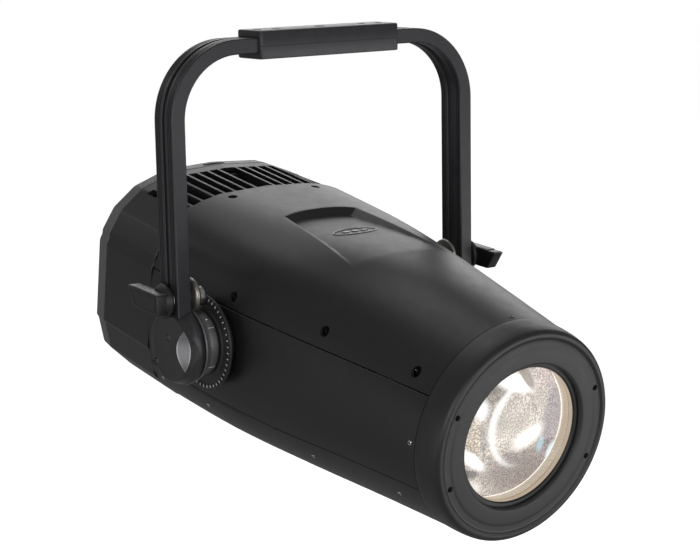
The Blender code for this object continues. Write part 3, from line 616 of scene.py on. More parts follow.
def section_at(y):
    """Half width, height, depth and squareness of the covers at y, on a smooth curve through SECTIONS."""
    for k, (start, end) in enumerate(zip(SECTIONS, SECTIONS[1:])):
        if y <= end[0] or k == len(SECTIONS) - 2:
            break
    before, after = SECTIONS[max(k - 1, 0)], SECTIONS[min(k + 2, len(SECTIONS) - 1)]
    span = end[0] - start[0]
    t = (y - start[0]) / span
    values = []
    for i in range(1, 5):
        slope_in = (end[i] - before[i]) / (end[0] - before[0]) * span
        slope_out = (after[i] - start[i]) / (after[0] - start[0]) * span
        h00, h10 = 2 * t**3 - 3 * t**2 + 1, t**3 - 2 * t**2 + t
        h01, h11 = 3 * t**2 - 2 * t**3, t**3 - t**2
        values.append(h00 * start[i] + h10 * slope_in + h01 * end[i] + h11 * slope_out)
    return values


def rim_point(y, angle, inset=0.0):
    """The covers' surface at y, in the direction of angle (degrees from +X), moved in by inset."""
    width, height, depth, power = section_at(y)
    c, s = math.cos(math.radians(angle)), math.sin(math.radians(angle))
    tall = (height if s >= 0 else depth) - inset
    reach = (abs(c) ** power + abs(s) ** power) ** (-1 / power)
    return ((width - inset) * c * reach, y, tall * s * reach - OPTICAL_DROP)


def seam_below(y):
    share = min(1.0, (y - FRONT_SEAM) / (SEAM_LEVELS_OUT - FRONT_SEAM))
    return SEAM_BELOW_FRONT + (SEAM_BELOW_BACK - SEAM_BELOW_FRONT) * share


def level_angle(y, level):
    """The direction, in degrees from +X, in which the surface at y reaches a level over the optical axis."""
    _, height, depth, power = section_at(y)
    part = (abs(level) / (height if level >= 0 else depth)) ** power
    return math.copysign(math.degrees(math.atan((part / (1 - part)) ** (1 / power))), level)


def column_angle(y, x):
    """The direction in which the top of the covers at y lies over x."""
    width, _, _, power = section_at(y)
    part = min(0.9999, abs(x) / width) ** power
    angle = 90.0 if part < 1e-9 else math.degrees(math.atan(((1 - part) / part) ** (1 / power)))
    return angle if x >= 0 else 180 - angle


def pocket_half_width(y):
    return POCKET_HALF + (POCKET_DEEPEST_AT - max(-140.0, min(40.0, y))) * POCKET_TAPER


def eased(value, low, high):
    t = max(0.0, min(1.0, (value - low) / (high - low)))
    return t * t * (3 - 2 * t)


def pocket_depth(x, y):
    """How far the shallow pocket on top sinks: sloped walls down to a floor that rises towards the front."""
    back = POCKET_BACK - POCKET_BOW * (x / POCKET_HALF) ** 2
    inside = min(pocket_half_width(y) - abs(x), back - y)
    floor = POCKET_DEPTH * (y - POCKET_FRONT) / (POCKET_DEEPEST_AT - POCKET_FRONT)
    wall = POCKET_DEPTH * inside / POCKET_SLOPE
    soft = 0.5 * (wall + math.sqrt(wall * wall + 0.16)) if wall > -3 else 0.0
    return max(0.0, min(soft, max(0.0, floor)))


def crease_depth(y, level):
    """The soft crease along the side: below it the surface falls back, and meets the seam again."""
    line = CREASE_LEVEL + CREASE_RISE * eased(-y, 10.0, 60.0)
    below = line - level
    if below <= 0 or level < SEAM_ABOVE:
        return 0.0
    fade = 1.0 - eased(-y, -10.0, 70.0)
    fall = min(1.0, below / CREASE_WIDTH)
    back = eased(level, SEAM_ABOVE, SEAM_ABOVE + CREASE_RETURN)
    return CREASE_DEPTH * fade * fall * back


def shell(name, columns_at, stations, relief, skin):
    """A closed curved sheet WALL thick over stations along the head and columns across it."""
    loops = []
    for y in stations:
        angles = columns_at(y)
        outside, inside = [], []
        for angle in angles:
            point = rim_point(y, angle)
            sunk = relief(point[0], y, point[2] + OPTICAL_DROP)
            outside.append(rim_point(y, angle, sunk))
            inside.append(rim_point(y, angle, sunk + WALL))
        edge = 0.5
        first, last = rim_point(y, angles[0], edge), rim_point(y, angles[-1], edge)
        loops.append([first, *outside[1:-1], last, *reversed(inside)])
    return loft(name, loops, skin, sharp=38.0)


def spaced(start, end, step):
    count = max(1, round((end - start) / step))
    return [start + (end - start) * k / count for k in range(count)]


def cover_stations(fine):
    first = FRONT_SEAM + 0.6
    if not fine:
        return [first, *spaced(first + 0.5, COVER_BACK - 0.5, 6.0), COVER_BACK - 0.5, COVER_BACK]
    return [first, *spaced(first + 0.5, -128.0, 6.0), *spaced(-128.0, 6.0, 3.0), *spaced(6.0, 34.0, 1.0),
            *spaced(34.0, COVER_BACK - 0.5, 5.0), COVER_BACK - 0.5, COVER_BACK]


def top_columns(y):
    """Columns that follow the pocket's sides near the middle, then spread evenly down to the seam."""
    seam = level_angle(y, SEAM_ABOVE + SEAM_GAP)
    middle = [column_angle(y, share * pocket_half_width(y)) for share in POCKET_COLUMNS]
    outer = middle[-1]
    side = [seam, seam + 0.25] + [seam + 0.25 + (outer - seam - 0.25) * k / 34 for k in range(1, 34)]
    right = side + middle[:0:-1]
    return right + [90.0] + [180 - angle for angle in reversed(right)]


def side_holes():
    """The sunk holes in the covers' sides: which side, how far back, what level and how far out."""
    return [(sign, y, level, rim_point(y, level_angle(y, level))[0]) for sign in (-1, 1)
            for y, level in SIDE_HOLES]


def top_cover():
    cover = shell("cover_top", top_columns, cover_stations(True),
                  lambda x, y, level: max(pocket_depth(x, y), crease_depth(y, level)), COVER)
    cutters = [drill(SUNK_HOLE if y > 0 else FRONT_HOLE, 95, 130, (x, y, 0)) for x, y in TOP_HOLES]
    for sign, y, level, reach in side_holes():
        start, end = ends(sign, reach - 12, reach + 8)
        cutters.append(drill(SUNK_HOLE, start, end, (0, y, level - OPTICAL_DROP), "X"))
    cut(cover, cutters)
    worn_by(cover, "head", "cover_black", "top_cover")


def recess_cups():
    """The liners of the sunk screws in the top cover, and their screws."""
    outline = ((0, -9), (5.4, -9), (5.4, -0.5), (4.9, -0.5), (4.9, -7), (0, -7))
    cup = spun("cup_seed", outline, COVER, Matrix(), steps=24, radius=0.2)
    places = [((x, y, rim_point(y, column_angle(y, x))[2] - 2.6), (0, 0, 1)) for x, y in TOP_HOLES if y > 0]
    places += [((sign * (reach - 3.6), y, level - OPTICAL_DROP), (sign, 0, 0))
               for sign, y, level, reach in side_holes()]
    cups = at_places("recess_cups", cup, places, COVER)
    worn_by(cups, "head", "cover_black")
    heads = [(Vector(point) - Vector(way) * 6.8, way) for point, way in places]
    x, y = TOP_HOLES[2]
    heads.append(((x, y, rim_point(y, 90)[2] - 2.2), (0, 0, 1)))
    screws = at_places("recessed_screws", screw_seed(3.4, 2.4, 1.7), heads, DARK_STEEL)
    worn_by(screws, "head", "black_steel")


def side_panels():
    for side, sign in (("left", -1), ("right", 1)):
        def columns(y, sign=sign):
            low, high = level_angle(y, seam_below(y) + SEAM_GAP), level_angle(y, SEAM_ABOVE - SEAM_GAP)
            angles = [low, low + 0.25, *spaced(low + 0.5, high - 0.25, 2.0), high - 0.25, high]
            return angles if sign > 0 else [180 - angle for angle in angles]
        panel = shell(f"panel_{side}", equal_columns(columns), cover_stations(False), no_relief, COVER)
        start, end = ends(sign, 120.0, 150.0)
        cut(panel, [drill(34.0, start, end, (0, 0, 0), "X", steps=64)])
        worn_by(panel, "head", "cover_black", f"side_panel_{side}")


def no_relief(*_):
    return 0.0


def equal_columns(columns, count=30):
    """Columns resampled so that every station has the same number of them."""
    def even(y):
        angles = columns(y)
        first, last = angles[0], angles[-1]
        edge = 0.3 if last > first else -0.3
        inner = [first + edge + (last - first - 2 * edge) * k / count for k in range(count + 1)]
        return [first, *inner, last]
    return even


def bottom_cover():
    def columns(y):
        angle = level_angle(y, seam_below(y) - SEAM_GAP)
        return [angle, -180 - angle]
    cover = shell("cover_bottom", equal_columns(columns, 64), cover_stations(False), no_relief, COVER)
    worn_by(cover, "head", "cover_black", "bottom_cover")


def surface_place(y, level, sign):
    """A point on the covers at a level over the optical axis, and the direction straight out of it."""
    angle = level_angle(y, level)
    here = Vector(rim_point(y, angle))
    along = Vector(rim_point(y + 1, angle)) - here
    across = Vector(rim_point(y, angle + 0.5)) - here
    out = across.cross(along).normalized()
    if out.x < 0:
        out = -out
    return (sign * here.x, here.y, here.z), (sign * out.x, out.y, out.z)


def cover_screws():
    """The small screws that hold the side panels and the bottom cover."""
    levels = ((-280.0, 1.6), (-253.0, -63.4), (-136.0, -70.4), (20.0, -72.0), (104.0, -72.0), (104.0, 20.0))
    places = [surface_place(y, level, sign) for sign in (-1, 1) for y, level in levels]
    places += [((0.0, y, rim_point(y, -90)[2]), (0, 0, -1)) for y in (-270.0, -60.0, 100.0)]
    screws = at_places("cover_screws", screw_seed(2.4, 0.9, 1.2), places, STEEL)
    worn_by(screws, "head", "steel")


def badge():
    """A plain raised mark on the pocket's floor: a long oval rim around three small bars."""
    def lifted(x, y):
        sunk = pocket_depth(x, y)
        return Vector(rim_point(y, column_angle(y, x), sunk))
    rim, steps, half_long, half_wide, width = [], 64, 28.0, 9.5, 1.7
    middle = -38.0
    for k in range(steps):
        angle = math.tau * k / steps
        loop = []
        for reach, lift in ((0, -0.4), (0, 0.35), (0.4, 0.6), (width - 0.4, 0.6), (width, 0.35),
                            (width, -0.4)):
            x = (half_long - reach) * math.cos(angle)
            y = middle + (half_wide - reach) * math.sin(angle)
            loop.append(lifted(x, y) + Vector((0, 0, lift)))
        rim.append(loop)
    pieces = [loft("badge_rim", rim, MARK, closed=True)]
    for x in (-12.0, 0.0, 12.0):
        low, high = lifted(x, middle), Vector((3.6, 1.6, 0.6))
        pieces.append(block("badge_bar", (low.x - high.x, low.y - high.y, low.z - 0.4),
                            (low.x + high.x, low.y + high.y, low.z + high.z), MARK, round_off=0.3))
    worn_by(joined("top_badge", pieces), "head", "ring_black")


# ---------------------------------------------------------------- rear


def housing_outline(y, inset=0.0):
    """The rear housing's outline at y, moved in by about inset, with softened corners."""
    rise = SHOULDER_RISE * max(0.0, HOUSING_BACK - y) / (HOUSING_BACK - HOUSING_FRONT)
    raised = [(x, z + rise) if x == SHOULDER_X else (x, z) for x, z in HOUSING_RIGHT]
    right = [(x - inset * x / 140.0, z - inset * z / 118.0) for x, z in raised]
    left = [(-x, z) for x, z in reversed(right) if x > 0]
    outline = []
    points = right + left
    for i, (x, z) in enumerate(points):
        here = Vector((x, z))
        before, after = Vector(points[i - 1]) - here, Vector(points[(i + 1) % len(points)]) - here
        reach = min(HOUSING_ROUNDING, 0.4 * before.length, 0.4 * after.length)
        outline += bend(here, before, after, reach)
    return [(x, y, z - OPTICAL_DROP) for x, z in outline]


def housing_height(x):
    """Height of the housing's top over x, in the head's frame."""
    for (x0, z0), (x1, z1) in zip(HOUSING_RIGHT, HOUSING_RIGHT[1:]):
        if x0 <= abs(x) <= x1:
            return z0 + (z1 - z0) * (abs(x) - x0) / (x1 - x0) - OPTICAL_DROP
    return -OPTICAL_DROP


def grille_bars():
    return [sign * (GRILLE_FIRST_BAR + GRILLE_PITCH * k) for k in range(GRILLE_BARS) for sign in (-1, 1)]


def rear_housing():
    loops = [housing_outline(HOUSING_FRONT + 0.5), housing_outline(HOUSING_BACK - 0.5),
             housing_outline(HOUSING_BACK, 0.5), housing_outline(HOUSING_BACK, 4.0),
             housing_outline(HOUSING_FRONT, 4.0), housing_outline(HOUSING_FRONT, 0.5)]
    housing = loft("housing_rear", loops, COVER, closed=True, sharp=25.0)
    half = GRILLE_BAR / 2
    bars = sorted(grille_bars()) + [GRILLE_EDGE + half]
    starts = [-GRILLE_EDGE - half, *bars[:-1]]
    cutters = [block("slot", (a + half, GRILLE_FRONT, 60), (b - half, GRILLE_BACK, 130), COVER, round_off=0)
               for a, b in zip(starts, bars)]
    cut(housing, cutters)
    worn_by(housing, "head", "cover_black", "rear_housing")


def grille():
    """The blades that stand under the grille's bars, the rib across them, and pale strips on their top edges
    that paint a highlight.
    """
    deep = 16.0
    seed = block("blade_seed", (-1.1, -39, -deep), (1.1, 37.5, -3.2), COVER, Matrix(), 0.3)
    places = [((x, 162, housing_height(x)), (0, 0, 1)) for x in grille_bars()]
    blades = at_places("vent_blades", seed, places, COVER)
    worn_by(blades, "head", "cover_black")
    # The thin pale strips on the bars' tops are painted highlight, not a lighter material.
    seed = block("edge_seed", (-0.75, -37, -0.3), (0.75, 37, 0.0), BLADE_EDGE_HIGHLIGHT, Matrix(), 0.12)
    edges = at_places("vent_blade_edges", seed, [((x, y, z + 0.02), way) for (x, y, z), way in places], BLADE_EDGE_HIGHLIGHT)
    worn_by(edges, "head", "cover_black")
    loops = []
    for x in [-GRILLE_EDGE + 2 * GRILLE_EDGE * k / 40 for k in range(41)]:
        top = housing_height(x) - 5.0
        loops.append([(x, 189, top), (x, 192, top), (x, 192, top - 5), (x, 189, top - 5)])
    worn_by(loft("vent_rib", loops, COVER), "head", "cover_black")


def rear_pan():
    """The pan that closes the back: its band tapers, and it is open for connectors, keys and display."""
    front, back = HOUSING_BACK + 0.6, BACK_FACE
    outer = ((front, 1.0), (front + 1, 0.0), (back - 6, 1.6), (back - 3.4, 3.8), (back - 1.6, 6.4),
             (back - 0.4, 9.8), (back, 12.2))
    loops = [housing_outline(front, 5.0)] + [housing_outline(y, inset) for y, inset in outer]
    loops += [housing_outline(back, 30.0), housing_outline(back - 4, 30.0), housing_outline(back - 4, 12.0)]
    count = len(loops[0])
    verts = [corner for loop in loops for corner in loop]
    faces = []
    open_ring = len(loops) - 3
    for i in range(len(loops)):
        here, after = i * count, (i + 1) % len(loops) * count
        if i != open_ring:
            faces += [(here + k, here + (k + 1) % count, after + (k + 1) % count, after + k)
                      for k in range(count)]
    for i in (open_ring, open_ring + 1):
        faces.append(tuple(i * count + k for k in range(count)))
    pan = shape("pan_rear", verts, faces, PAN, sharp=25.0)
    start, end = back - 10, back + 5

    def opening(x0, x1, z0, z1):
        return block("opening", (x0, start, z0), (x1, end, z1), PAN, round_off=0)

    x, z = INLET
    wide, tall = INLET_HALF
    cutters = [opening(x - wide, x + wide, z - tall, z + tall),
               opening(-DISPLAY_HALF, DISPLAY_HALF, *DISPLAY_LEVELS)]
    cutters += [drill(DATA_RADIUS + 0.6, start, end, (x, 0, DATA_LEVEL), "Y", steps=48)
                for x in DATA_PLACES.values()]
    cutters += [drill(KEY_HOLE, start, end, (x, 0, KEY_LEVEL), "Y") for x in KEY_PLACES.values()]
    cutters.append(eye_cutter())
    cutters += [opening(x - VENT_HALF, x + VENT_HALF, 60, 82) for x in range(-84, 92, VENT_PITCH)]
    for side, lowest in ((-1, -30), (1, -70)):
        x0, x1 = ends(side, *VENT_REACH)
        cutters += [opening(x0, x1, z - VENT_HALF, z + VENT_HALF) for z in range(lowest, 42, VENT_PITCH)]
    cut(pan, cutters)
    worn_by(pan, "head", "back_grey", "rear_cover")


def eye_cutter():
    """The long round-ended hole in the top of the pan."""
    x, y, reach, radius, steps = -3.0, 221.5, 9.5, 4.2, 40
    low, high = [], []
    for k in range(steps):
        angle = math.tau * (k + 0.5) / steps
        offset = reach if math.cos(angle) > 0 else -reach
        point = (x + offset + radius * math.cos(angle), y + radius * math.sin(angle))
        low.append((*point, 100))
        high.append((*point, 125))
    return loft("eye", [low, high], PAN)


def rear_fittings():
    back = BACK_FACE
    x, z = INLET
    low, high = (x - 16.5, back - 22, z - 13.5), (x + 16.5, back + 1, z + 13.5)
    inlet = block("inlet", low, high, NYLON, round_off=1.2)
    cut(inlet, [block("socket", (x - 12, back - 14, z - 9), (x + 12, back + 4, z + 9), NYLON, round_off=0)])
    worn_by(inlet, "head", "lever_plastic", "power_inlet")
    blade = block("pin_seed", (-0.9, -2.4, 0), (0.9, 2.4, 9), STEEL, Matrix(), 0.3)
    pins = [((x + a, back - 14.2, z + b), (0, 1, 0)) for a, b in ((-6, 0), (6, 0), (0, 3))]
    worn_by(at_places("inlet_pins", blade, pins, STEEL), "head", "steel")
    for name, x in DATA_PLACES.items():
        outline = ((0, back - 20), (DATA_RADIUS, back - 20), (DATA_RADIUS, back + 0.9),
                   (DATA_RADIUS - 2.4, back + 0.9), (DATA_RADIUS - 3, back - 1.5),
                   (DATA_RADIUS - 3, back - 10), (0, back - 10))
        socket = spun(f"{name}_socket", outline, STEEL, HEAD, (x, 0, DATA_LEVEL), "Y", 64)
        worn_by(socket, "head", "steel", name)
        outline = ((0, 0), (0.8, 0), (0.8, 6), (0, 6.6))
        pin = spun("pin_seed", outline, STEEL, Matrix(), (4.6, 0, 0), "Z", 10, 0.2)
        seat = HEAD @ Matrix.Translation(Vector((x, back - 10.2, DATA_LEVEL)) * MM) @ AXES["Y"]
        worn_by(round_an_axis(f"{name}_pins", pin, 5, STEEL, seat), "head", "steel")
    bezel = block("display_bezel", (-35.5, back - 9, 12.5), (35.5, back - 0.6, 47.5), NYLON, round_off=1.0)
    cut(bezel, [block("window", (-31, back - 1.8, 16.5), (31, back + 2, 43.5), NYLON, round_off=0)])
    worn_by(bezel, "head", "lever_plastic", "display")
    window = block("display_glass", (-30.7, back - 2.2, 16.8), (30.7, back - 1.2, 43.2), SCREEN,
                   round_off=0.4)
    worn_by(window, "head", "ring_black")
    screws = [((side * x, back - sunk, z), (0, 1, 0)) for x, sunk, levels in BACK_SCREWS
              for side in (-1, 1) for z in levels]
    worn_by(at_places("back_screws", screw_seed(3.0, 1.2, 1.5), screws, DARK_STEEL), "head", "black_steel")


def keys():
    """The four keys under the display, each with a raised sign: a square, two arrows and a ring."""
    for name, x in KEY_PLACES.items():
        outline = ((0, -8), (5, -8), (5, 2), (4.2, 2.9), (0, 2.4))
        cap = spun(f"key_{name}_cap", outline, NYLON, HEAD, (x, BACK_FACE, KEY_LEVEL), "Y", 40, 0.4)
        sign = key_sign(name, x)
        worn_by(cap, f"{name}_key", "lever_plastic", f"key_{name}")
        worn_by(sign, f"{name}_key", "lever_plastic")


def key_sign(name, x):
    ring = [(1.9 * math.cos(k * math.pi / 8), 1.9 * math.sin(k * math.pi / 8)) for k in range(16)]
    corners = {"menu": [(-1.7, -1.7), (1.7, -1.7), (1.7, 1.7), (-1.7, 1.7)], "enter": ring,
               "down": [(-2, 1.3), (0, -1.9), (2, 1.3)], "up": [(-2, -1.3), (2, -1.3), (0, 1.9)]}
    low, high = BACK_FACE + 1.8, BACK_FACE + 2.9
    loops = [[(x + a * size, y, KEY_LEVEL + b * size) for a, b in corners[name]]
             for y, size in ((low, 1.0), (high - 0.2, 1.0), (high, 0.85))]
    return loft(f"key_{name}_sign", loops, PALE)


# ---------------------------------------------------------------- front


def round_the_beam(name, outline, skin, steps=144, **how):
    return spun(name, outline, skin, centre=AXIS_CENTRE, axis="Y", steps=steps, **how)


def front_parts():
    back = FRONT_SEAM
    outline = (
        (106.2, back, 0.4), (105.9, back - 10, 4), (105.1, back - 20, 4), (103.8, back - 27, 3),
        (101.2, FACE + 0.1, 1.4), (97.6, FACE, 0.6), (96.4, FACE + 0.7, 0.5),
        (PLATE_RADIUS + 0.2, FACE + 1.0, 0.2), (PLATE_RADIUS + 0.2, FACE + 5.5, 0.3), (84, FACE + 5.5, 0.3),
        (84, FACE + 9, 0.3), (74.6, FACE + 9, 0.3), (74.6, back - 4, 0.3), (100, back - 4, 0.3),
        (100, back + 5, 0.3), (102.2, back + 5, 0.3), (102.2, back, 0.2),
    )
    ring = round_the_beam("bezel_ring", outline, RING)
    worn_by(ring, "head", "ring_black", "front_ring")
    outline = (
        (PLATE_RADIUS, FACE + 1.3, 0.2), (94.6, FACE + 1.0, 0.3), (93.4, FACE + 1.3, 0.6),
        (88.2, FACE + 1.3, 0.8), (86.0, FACE + 0.8, 0.8), (73.0, FACE + 0.5, 0.8), (71.2, FACE + 1.8, 0.8),
        (70.6, FACE + 5, 0.3), (PLATE_RADIUS, FACE + 5, 0.3),
    )
    plate = round_the_beam("face_plate", outline, PLATE)
    drills = []
    for angle in FACE_HOLE_ANGLES:
        turn = math.radians(angle)
        place = (FACE_SCREW_CIRCLE * math.cos(turn), 0, FACE_SCREW_CIRCLE * math.sin(turn) - OPTICAL_DROP)
        drills.append(drill(2.9, FACE - 5, FACE + 10, place, "Y", steps=24))
    cut(plate, drills)
    worn_by(plate, "head", "ring_black", "front_plate")
    outline = ((LENS_RADIUS + 0.4, FACE + 7.6, 0.3), (LENS_RADIUS + 1.2, FACE + 6, 0.5), (82, FACE + 6, 0.3),
               (82, FACE + 8.4, 0.3), (LENS_RADIUS + 0.4, FACE + 8.4, 0.2))
    retainer = round_the_beam("retainer_ring", outline, RING)
    worn_by(retainer, "head", "ring_black", "lens_retainer")
    seat = HEAD @ Matrix.Translation(Vector((0, FACE + 2.0, -OPTICAL_DROP)) * MM) @ AXES["Y"]
    seat = seat @ Matrix.Rotation(math.pi, 4, "X")
    screw = screw_seed(1.7, 0.5, 0.8)
    screw.data.transform(Matrix.Translation((FACE_SCREW_CIRCLE * MM, 0, 0)))
    worn_by(round_an_axis("face_screws", screw, 4, STEEL, seat), "head", "steel")


def dome(radius, front, back, bulge):
    """Outline of a lens that is flat behind and curved in front."""
    steps = 14
    points = [(0, back), (radius, back, 0.3)]
    sphere = (radius**2 + bulge**2) / (2 * bulge)
    for k in range(steps + 1):
        r = radius * (1 - k / steps)
        points.append((r, front + sphere - math.sqrt(sphere**2 - r**2), 0.3 if k == 0 else 0.0))
    return points


def front_glass():
    """The front lens, the tube that holds it, whose inner wall glows with painted lamp light, and the lit optic
    behind.
    """
    outline = dome(LENS_RADIUS, FACE + 8.2, FACE + 14.5, 4.0)
    lens = round_the_beam("lens_front", outline, CLEAR, LENS_STEPS, radius=0.2, sharp=50)
    worn_by(lens, "head", "glass", "front_lens")
    outline = ((LENS_RADIUS + 0.3, FACE + 9.0, 0.3), (LENS_RADIUS + 7.4, FACE + 9.2, 0.3),
               (LENS_RADIUS + 7.4, FACE + 29), (LENS_RADIUS - 0.8, FACE + 29, 0.3))
    # The tube's wall is no lamp: its cream glow is painted lamp light falling on it.
    cream_wall = glow("cream_wall", (0.7, 0.56, 0.41), 0.72)
    tube = round_the_beam("lens_tube", outline, cream_wall, LENS_STEPS, radius=0.2)
    worn_by(tube, "head", "glass")
    outline = ((LENS_RADIUS - 1.2, FACE + 26.5, 0.2), (LENS_RADIUS - 0.2, FACE + 26.5, 0.2),
               (LENS_RADIUS - 0.2, FACE + 28.0, 0.2), (LENS_RADIUS - 1.2, FACE + 28.0, 0.2))
    lit_edge = glow("lit_edge", (1.0, 0.93, 0.84), 1.15)
    rim = round_the_beam("optic_rim", outline, lit_edge, LENS_STEPS, radius=0.1)
    worn_by(rim, "head", "glass")
    outline = dome(LENS_RADIUS - 1.6, FACE + 24.0, FACE + 29.5, 3.0)
    optic = round_the_beam("lit_optic", outline, lit_optic(), LENS_STEPS, radius=0.2, sharp=50)
    worn_by(optic, "head", "glass")


def glow(name, color, strength):
    """A surface that glows with the lamp's light, painted as an emission, its brightness rippling slightly."""
    made, tree, shader, place = new_finish(name)
    ripple = noise(tree, place, 30.0, 2.0)
    lit = ramp(tree, ripple, [c * 0.86 for c in color], color)
    tree.links.new(lit, shader.inputs["Emission Color"])
    tree.links.new(ramp(tree, ripple, 0.02, 0.05), shader.inputs["Base Color"])
    shader.inputs["Emission Strength"].default_value = strength
    return made


def over_lens(tree, place):
    """Coordinates across the lens: x and z run from -1 to 1 from rim to rim, and y along the beam."""
    centre = HEAD @ (Vector((0, FACE + 24, -OPTICAL_DROP)) * MM)
    size = (LENS_RADIUS * MM,) * 3
    inputs = {"Vector": place, "Location": centre, "Rotation": (TILT_AT_REST, 0, 0), "Scale": size}
    return node(tree, "ShaderNodeMapping", inputs, vector_type="TEXTURE").outputs[0]


def patch(tree, place, centre, half, turn=0.0, edge=0.35):
    """A soft oval patch: 1 inside, 0 outside, with its half sizes across and up."""
    inputs = {"Vector": place, "Location": (centre[0], 0, centre[1]), "Rotation": (0, -math.radians(turn), 0),
              "Scale": (half[0], 1e3, half[1])}
    local = node(tree, "ShaderNodeMapping", inputs, vector_type="TEXTURE").outputs[0]
    far = node(tree, "ShaderNodeVectorMath", {0: local}, operation="LENGTH").outputs["Value"]
    inputs = {"Value": far, "From Min": 1.0 + edge, "From Max": 1.0 - edge}
    return node(tree, "ShaderNodeMapRange", inputs, interpolation_type="SMOOTHSTEP").outputs[0]


def layered(tree, under, color, mask, strength=1.0):
    if strength != 1.0:
        mask = node(tree, "ShaderNodeMath", {0: mask, 1: strength}, operation="MULTIPLY").outputs[0]
    inputs = {0: mask, 6: under, 7: (*color, 1.0)}
    return node(tree, "ShaderNodeMix", inputs, data_type="RGBA").outputs[2]


def darkened(tree, color, by, factor):
    inputs = {0: factor, 6: color, 7: by}
    return node(tree, "ShaderNodeMix", inputs, data_type="RGBA", blend_type="MULTIPLY").outputs[2]


def patched(tree, place, color, patches):
    """The colour with soft patches laid over it, each a row of LIT_TONES or LIT_SHAPES."""
    for across, up, wide, tall, turn, edge, tone, strength in patches:
        mask = patch(tree, place, (across, up), (wide, tall), turn, edge)
        color = layered(tree, color, tone, mask, strength)
    return color


LIT_TONES = (
    # across, up, half across, half up, turn, edge, color, strength
    (0.25, -0.66, 0.66, 0.3, -6, 0.5, (0.2, 0.14, 0.115), 0.92),
    (0.8, 0.06, 0.2, 0.62, -8, 0.5, (0.27, 0.21, 0.23), 0.88),
    (-0.36, 0.6, 0.3, 0.12, 20, 0.5, (0.2, 0.16, 0.13), 0.9),
    (-0.05, 0.52, 0.42, 0.055, 16, 0.5, (0.28, 0.24, 0.21), 0.85),
    (-0.55, 0.0, 0.13, 0.26, 6, 0.5, (0.74, 0.62, 0.48), 0.8),
    (-0.42, -0.1, 0.045, 0.24, 10, 0.5, (0.3, 0.28, 0.27), 0.75),
    (-0.7, 0.2, 0.08, 0.13, 0, 0.5, (0.3, 0.28, 0.29), 0.75),
    (0.66, 0.68, 0.26, 0.2, -25, 0.4, (0.68, 0.53, 0.52), 0.7),
)
LIT_SHAPES = (
    (0.02, 0.67, 0.36, 0.12, -20, 0.4, (1.2, 1.18, 1.15), 1.0),
    (0.25, 0.73, 0.07, 0.25, 35, 0.2, (0.27, 0.2, 0.16), 0.95),
    (-0.6, -0.57, 0.19, 0.055, -12, 0.25, (0.17, 0.14, 0.13), 0.95),
    (-0.47, 0.33, 0.1, 0.14, 0, 0.6, (1.2, 1.2, 1.22), 0.9),
    (-0.58, -0.36, 0.27, 0.085, -38, 0.35, (1.2, 1.16, 1.12), 1.0),
    (-0.55, -0.78, 0.2, 0.1, -25, 0.5, (1.0, 0.94, 0.88), 0.8),
    (0.35, -0.18, 0.27, 0.13, 22, 0.5, (1.15, 1.1, 1.05), 0.95),
    (0.62, -0.34, 0.06, 0.1, -10, 0.6, (0.45, 0.7, 0.8), 0.75),
    (0.84, -0.47, 0.055, 0.12, -25, 0.6, (0.8, 1.0, 1.1), 0.85),
)


def lit_optic():
    """The lamp's light on the optic: cream glare with speckle, white patches, dark bars and fine arcs."""
    made, tree, shader, place = new_finish("lit_optic")
    place = over_lens(tree, place)
    speckle = noise(tree, place, 46.0, 1.0, 0.5)
    broad = noise(tree, place, 2.6, 3.0)
    color = ramp(tree, broad, (0.46, 0.38, 0.32), (0.68, 0.6, 0.52), 0.35, 0.65)
    color = patched(tree, place, color, LIT_TONES)
    dots = ramp(tree, speckle, 0.45, 1.5, 0.42, 0.58)
    color = darkened(tree, color, dots, 0.8)
    for centre, size in (((0.75, 1.0), 30.0), ((-0.5, -1.15), 28.0), ((-0.5, 0.35), 30.0)):
        inputs = {"Vector": place, "Location": (centre[0], 0, centre[1]), "Scale": (1, 1e3, 1)}
        local = node(tree, "ShaderNodeMapping", inputs, vector_type="TEXTURE").outputs[0]
        inputs = {"Vector": local, "Scale": size, "Distortion": 0.6}
        arcs = node(tree, "ShaderNodeTexWave", inputs, wave_type="RINGS", rings_direction="SPHERICAL")
        near = patch(tree, place, centre, (0.5, 0.5), 0, 0.4)
        lines = ramp(tree, arcs.outputs["Fac"], 0.72, 1.0, 0.2, 0.6)
        color = darkened(tree, color, lines, near)
    disc = patch(tree, place, (0.32, 0.02), (0.66, 0.64), 0, 0.07)
    bite = patch(tree, place, (0.41, 0.0), (0.65, 0.64), 0, 0.1)
    crescent = node(tree, "ShaderNodeMath", {0: disc, 1: bite}, operation="SUBTRACT", use_clamp=True)
    color = layered(tree, color, (1.15, 1.12, 1.1), crescent.outputs[0], 0.9)
    color = patched(tree, place, color, LIT_SHAPES)
    tree.links.new(color, shader.inputs["Emission Color"])
    tree.links.new(ramp(tree, speckle, 0.02, 0.05), shader.inputs["Base Color"])
    shader.inputs["Emission Strength"].default_value = 1.0
    return made


# ---------------------------------------------------------------- yoke


def yoke_path():
    """The bar's middle line, up one arm, across the top and down the other."""
    corner_x = BAR_CENTRE - BEND_RADIUS
    corner_z = BAR_TOP - BAR_THICK / 2 - BEND_RADIUS
    left = [(-BAR_CENTRE, 0, BAR_END)]
    left += [(-BAR_CENTRE, 0, BAR_END + (corner_z - BAR_END) * k / 12) for k in range(1, 12)]
    for k in range(33):
        turn = math.radians(180 - 90 * k / 32)
        left.append((-corner_x + BEND_RADIUS * math.cos(turn), 0, corner_z + BEND_RADIUS * math.sin(turn)))
    return left + [(-x, y, z) for x, y, z in reversed(left)]


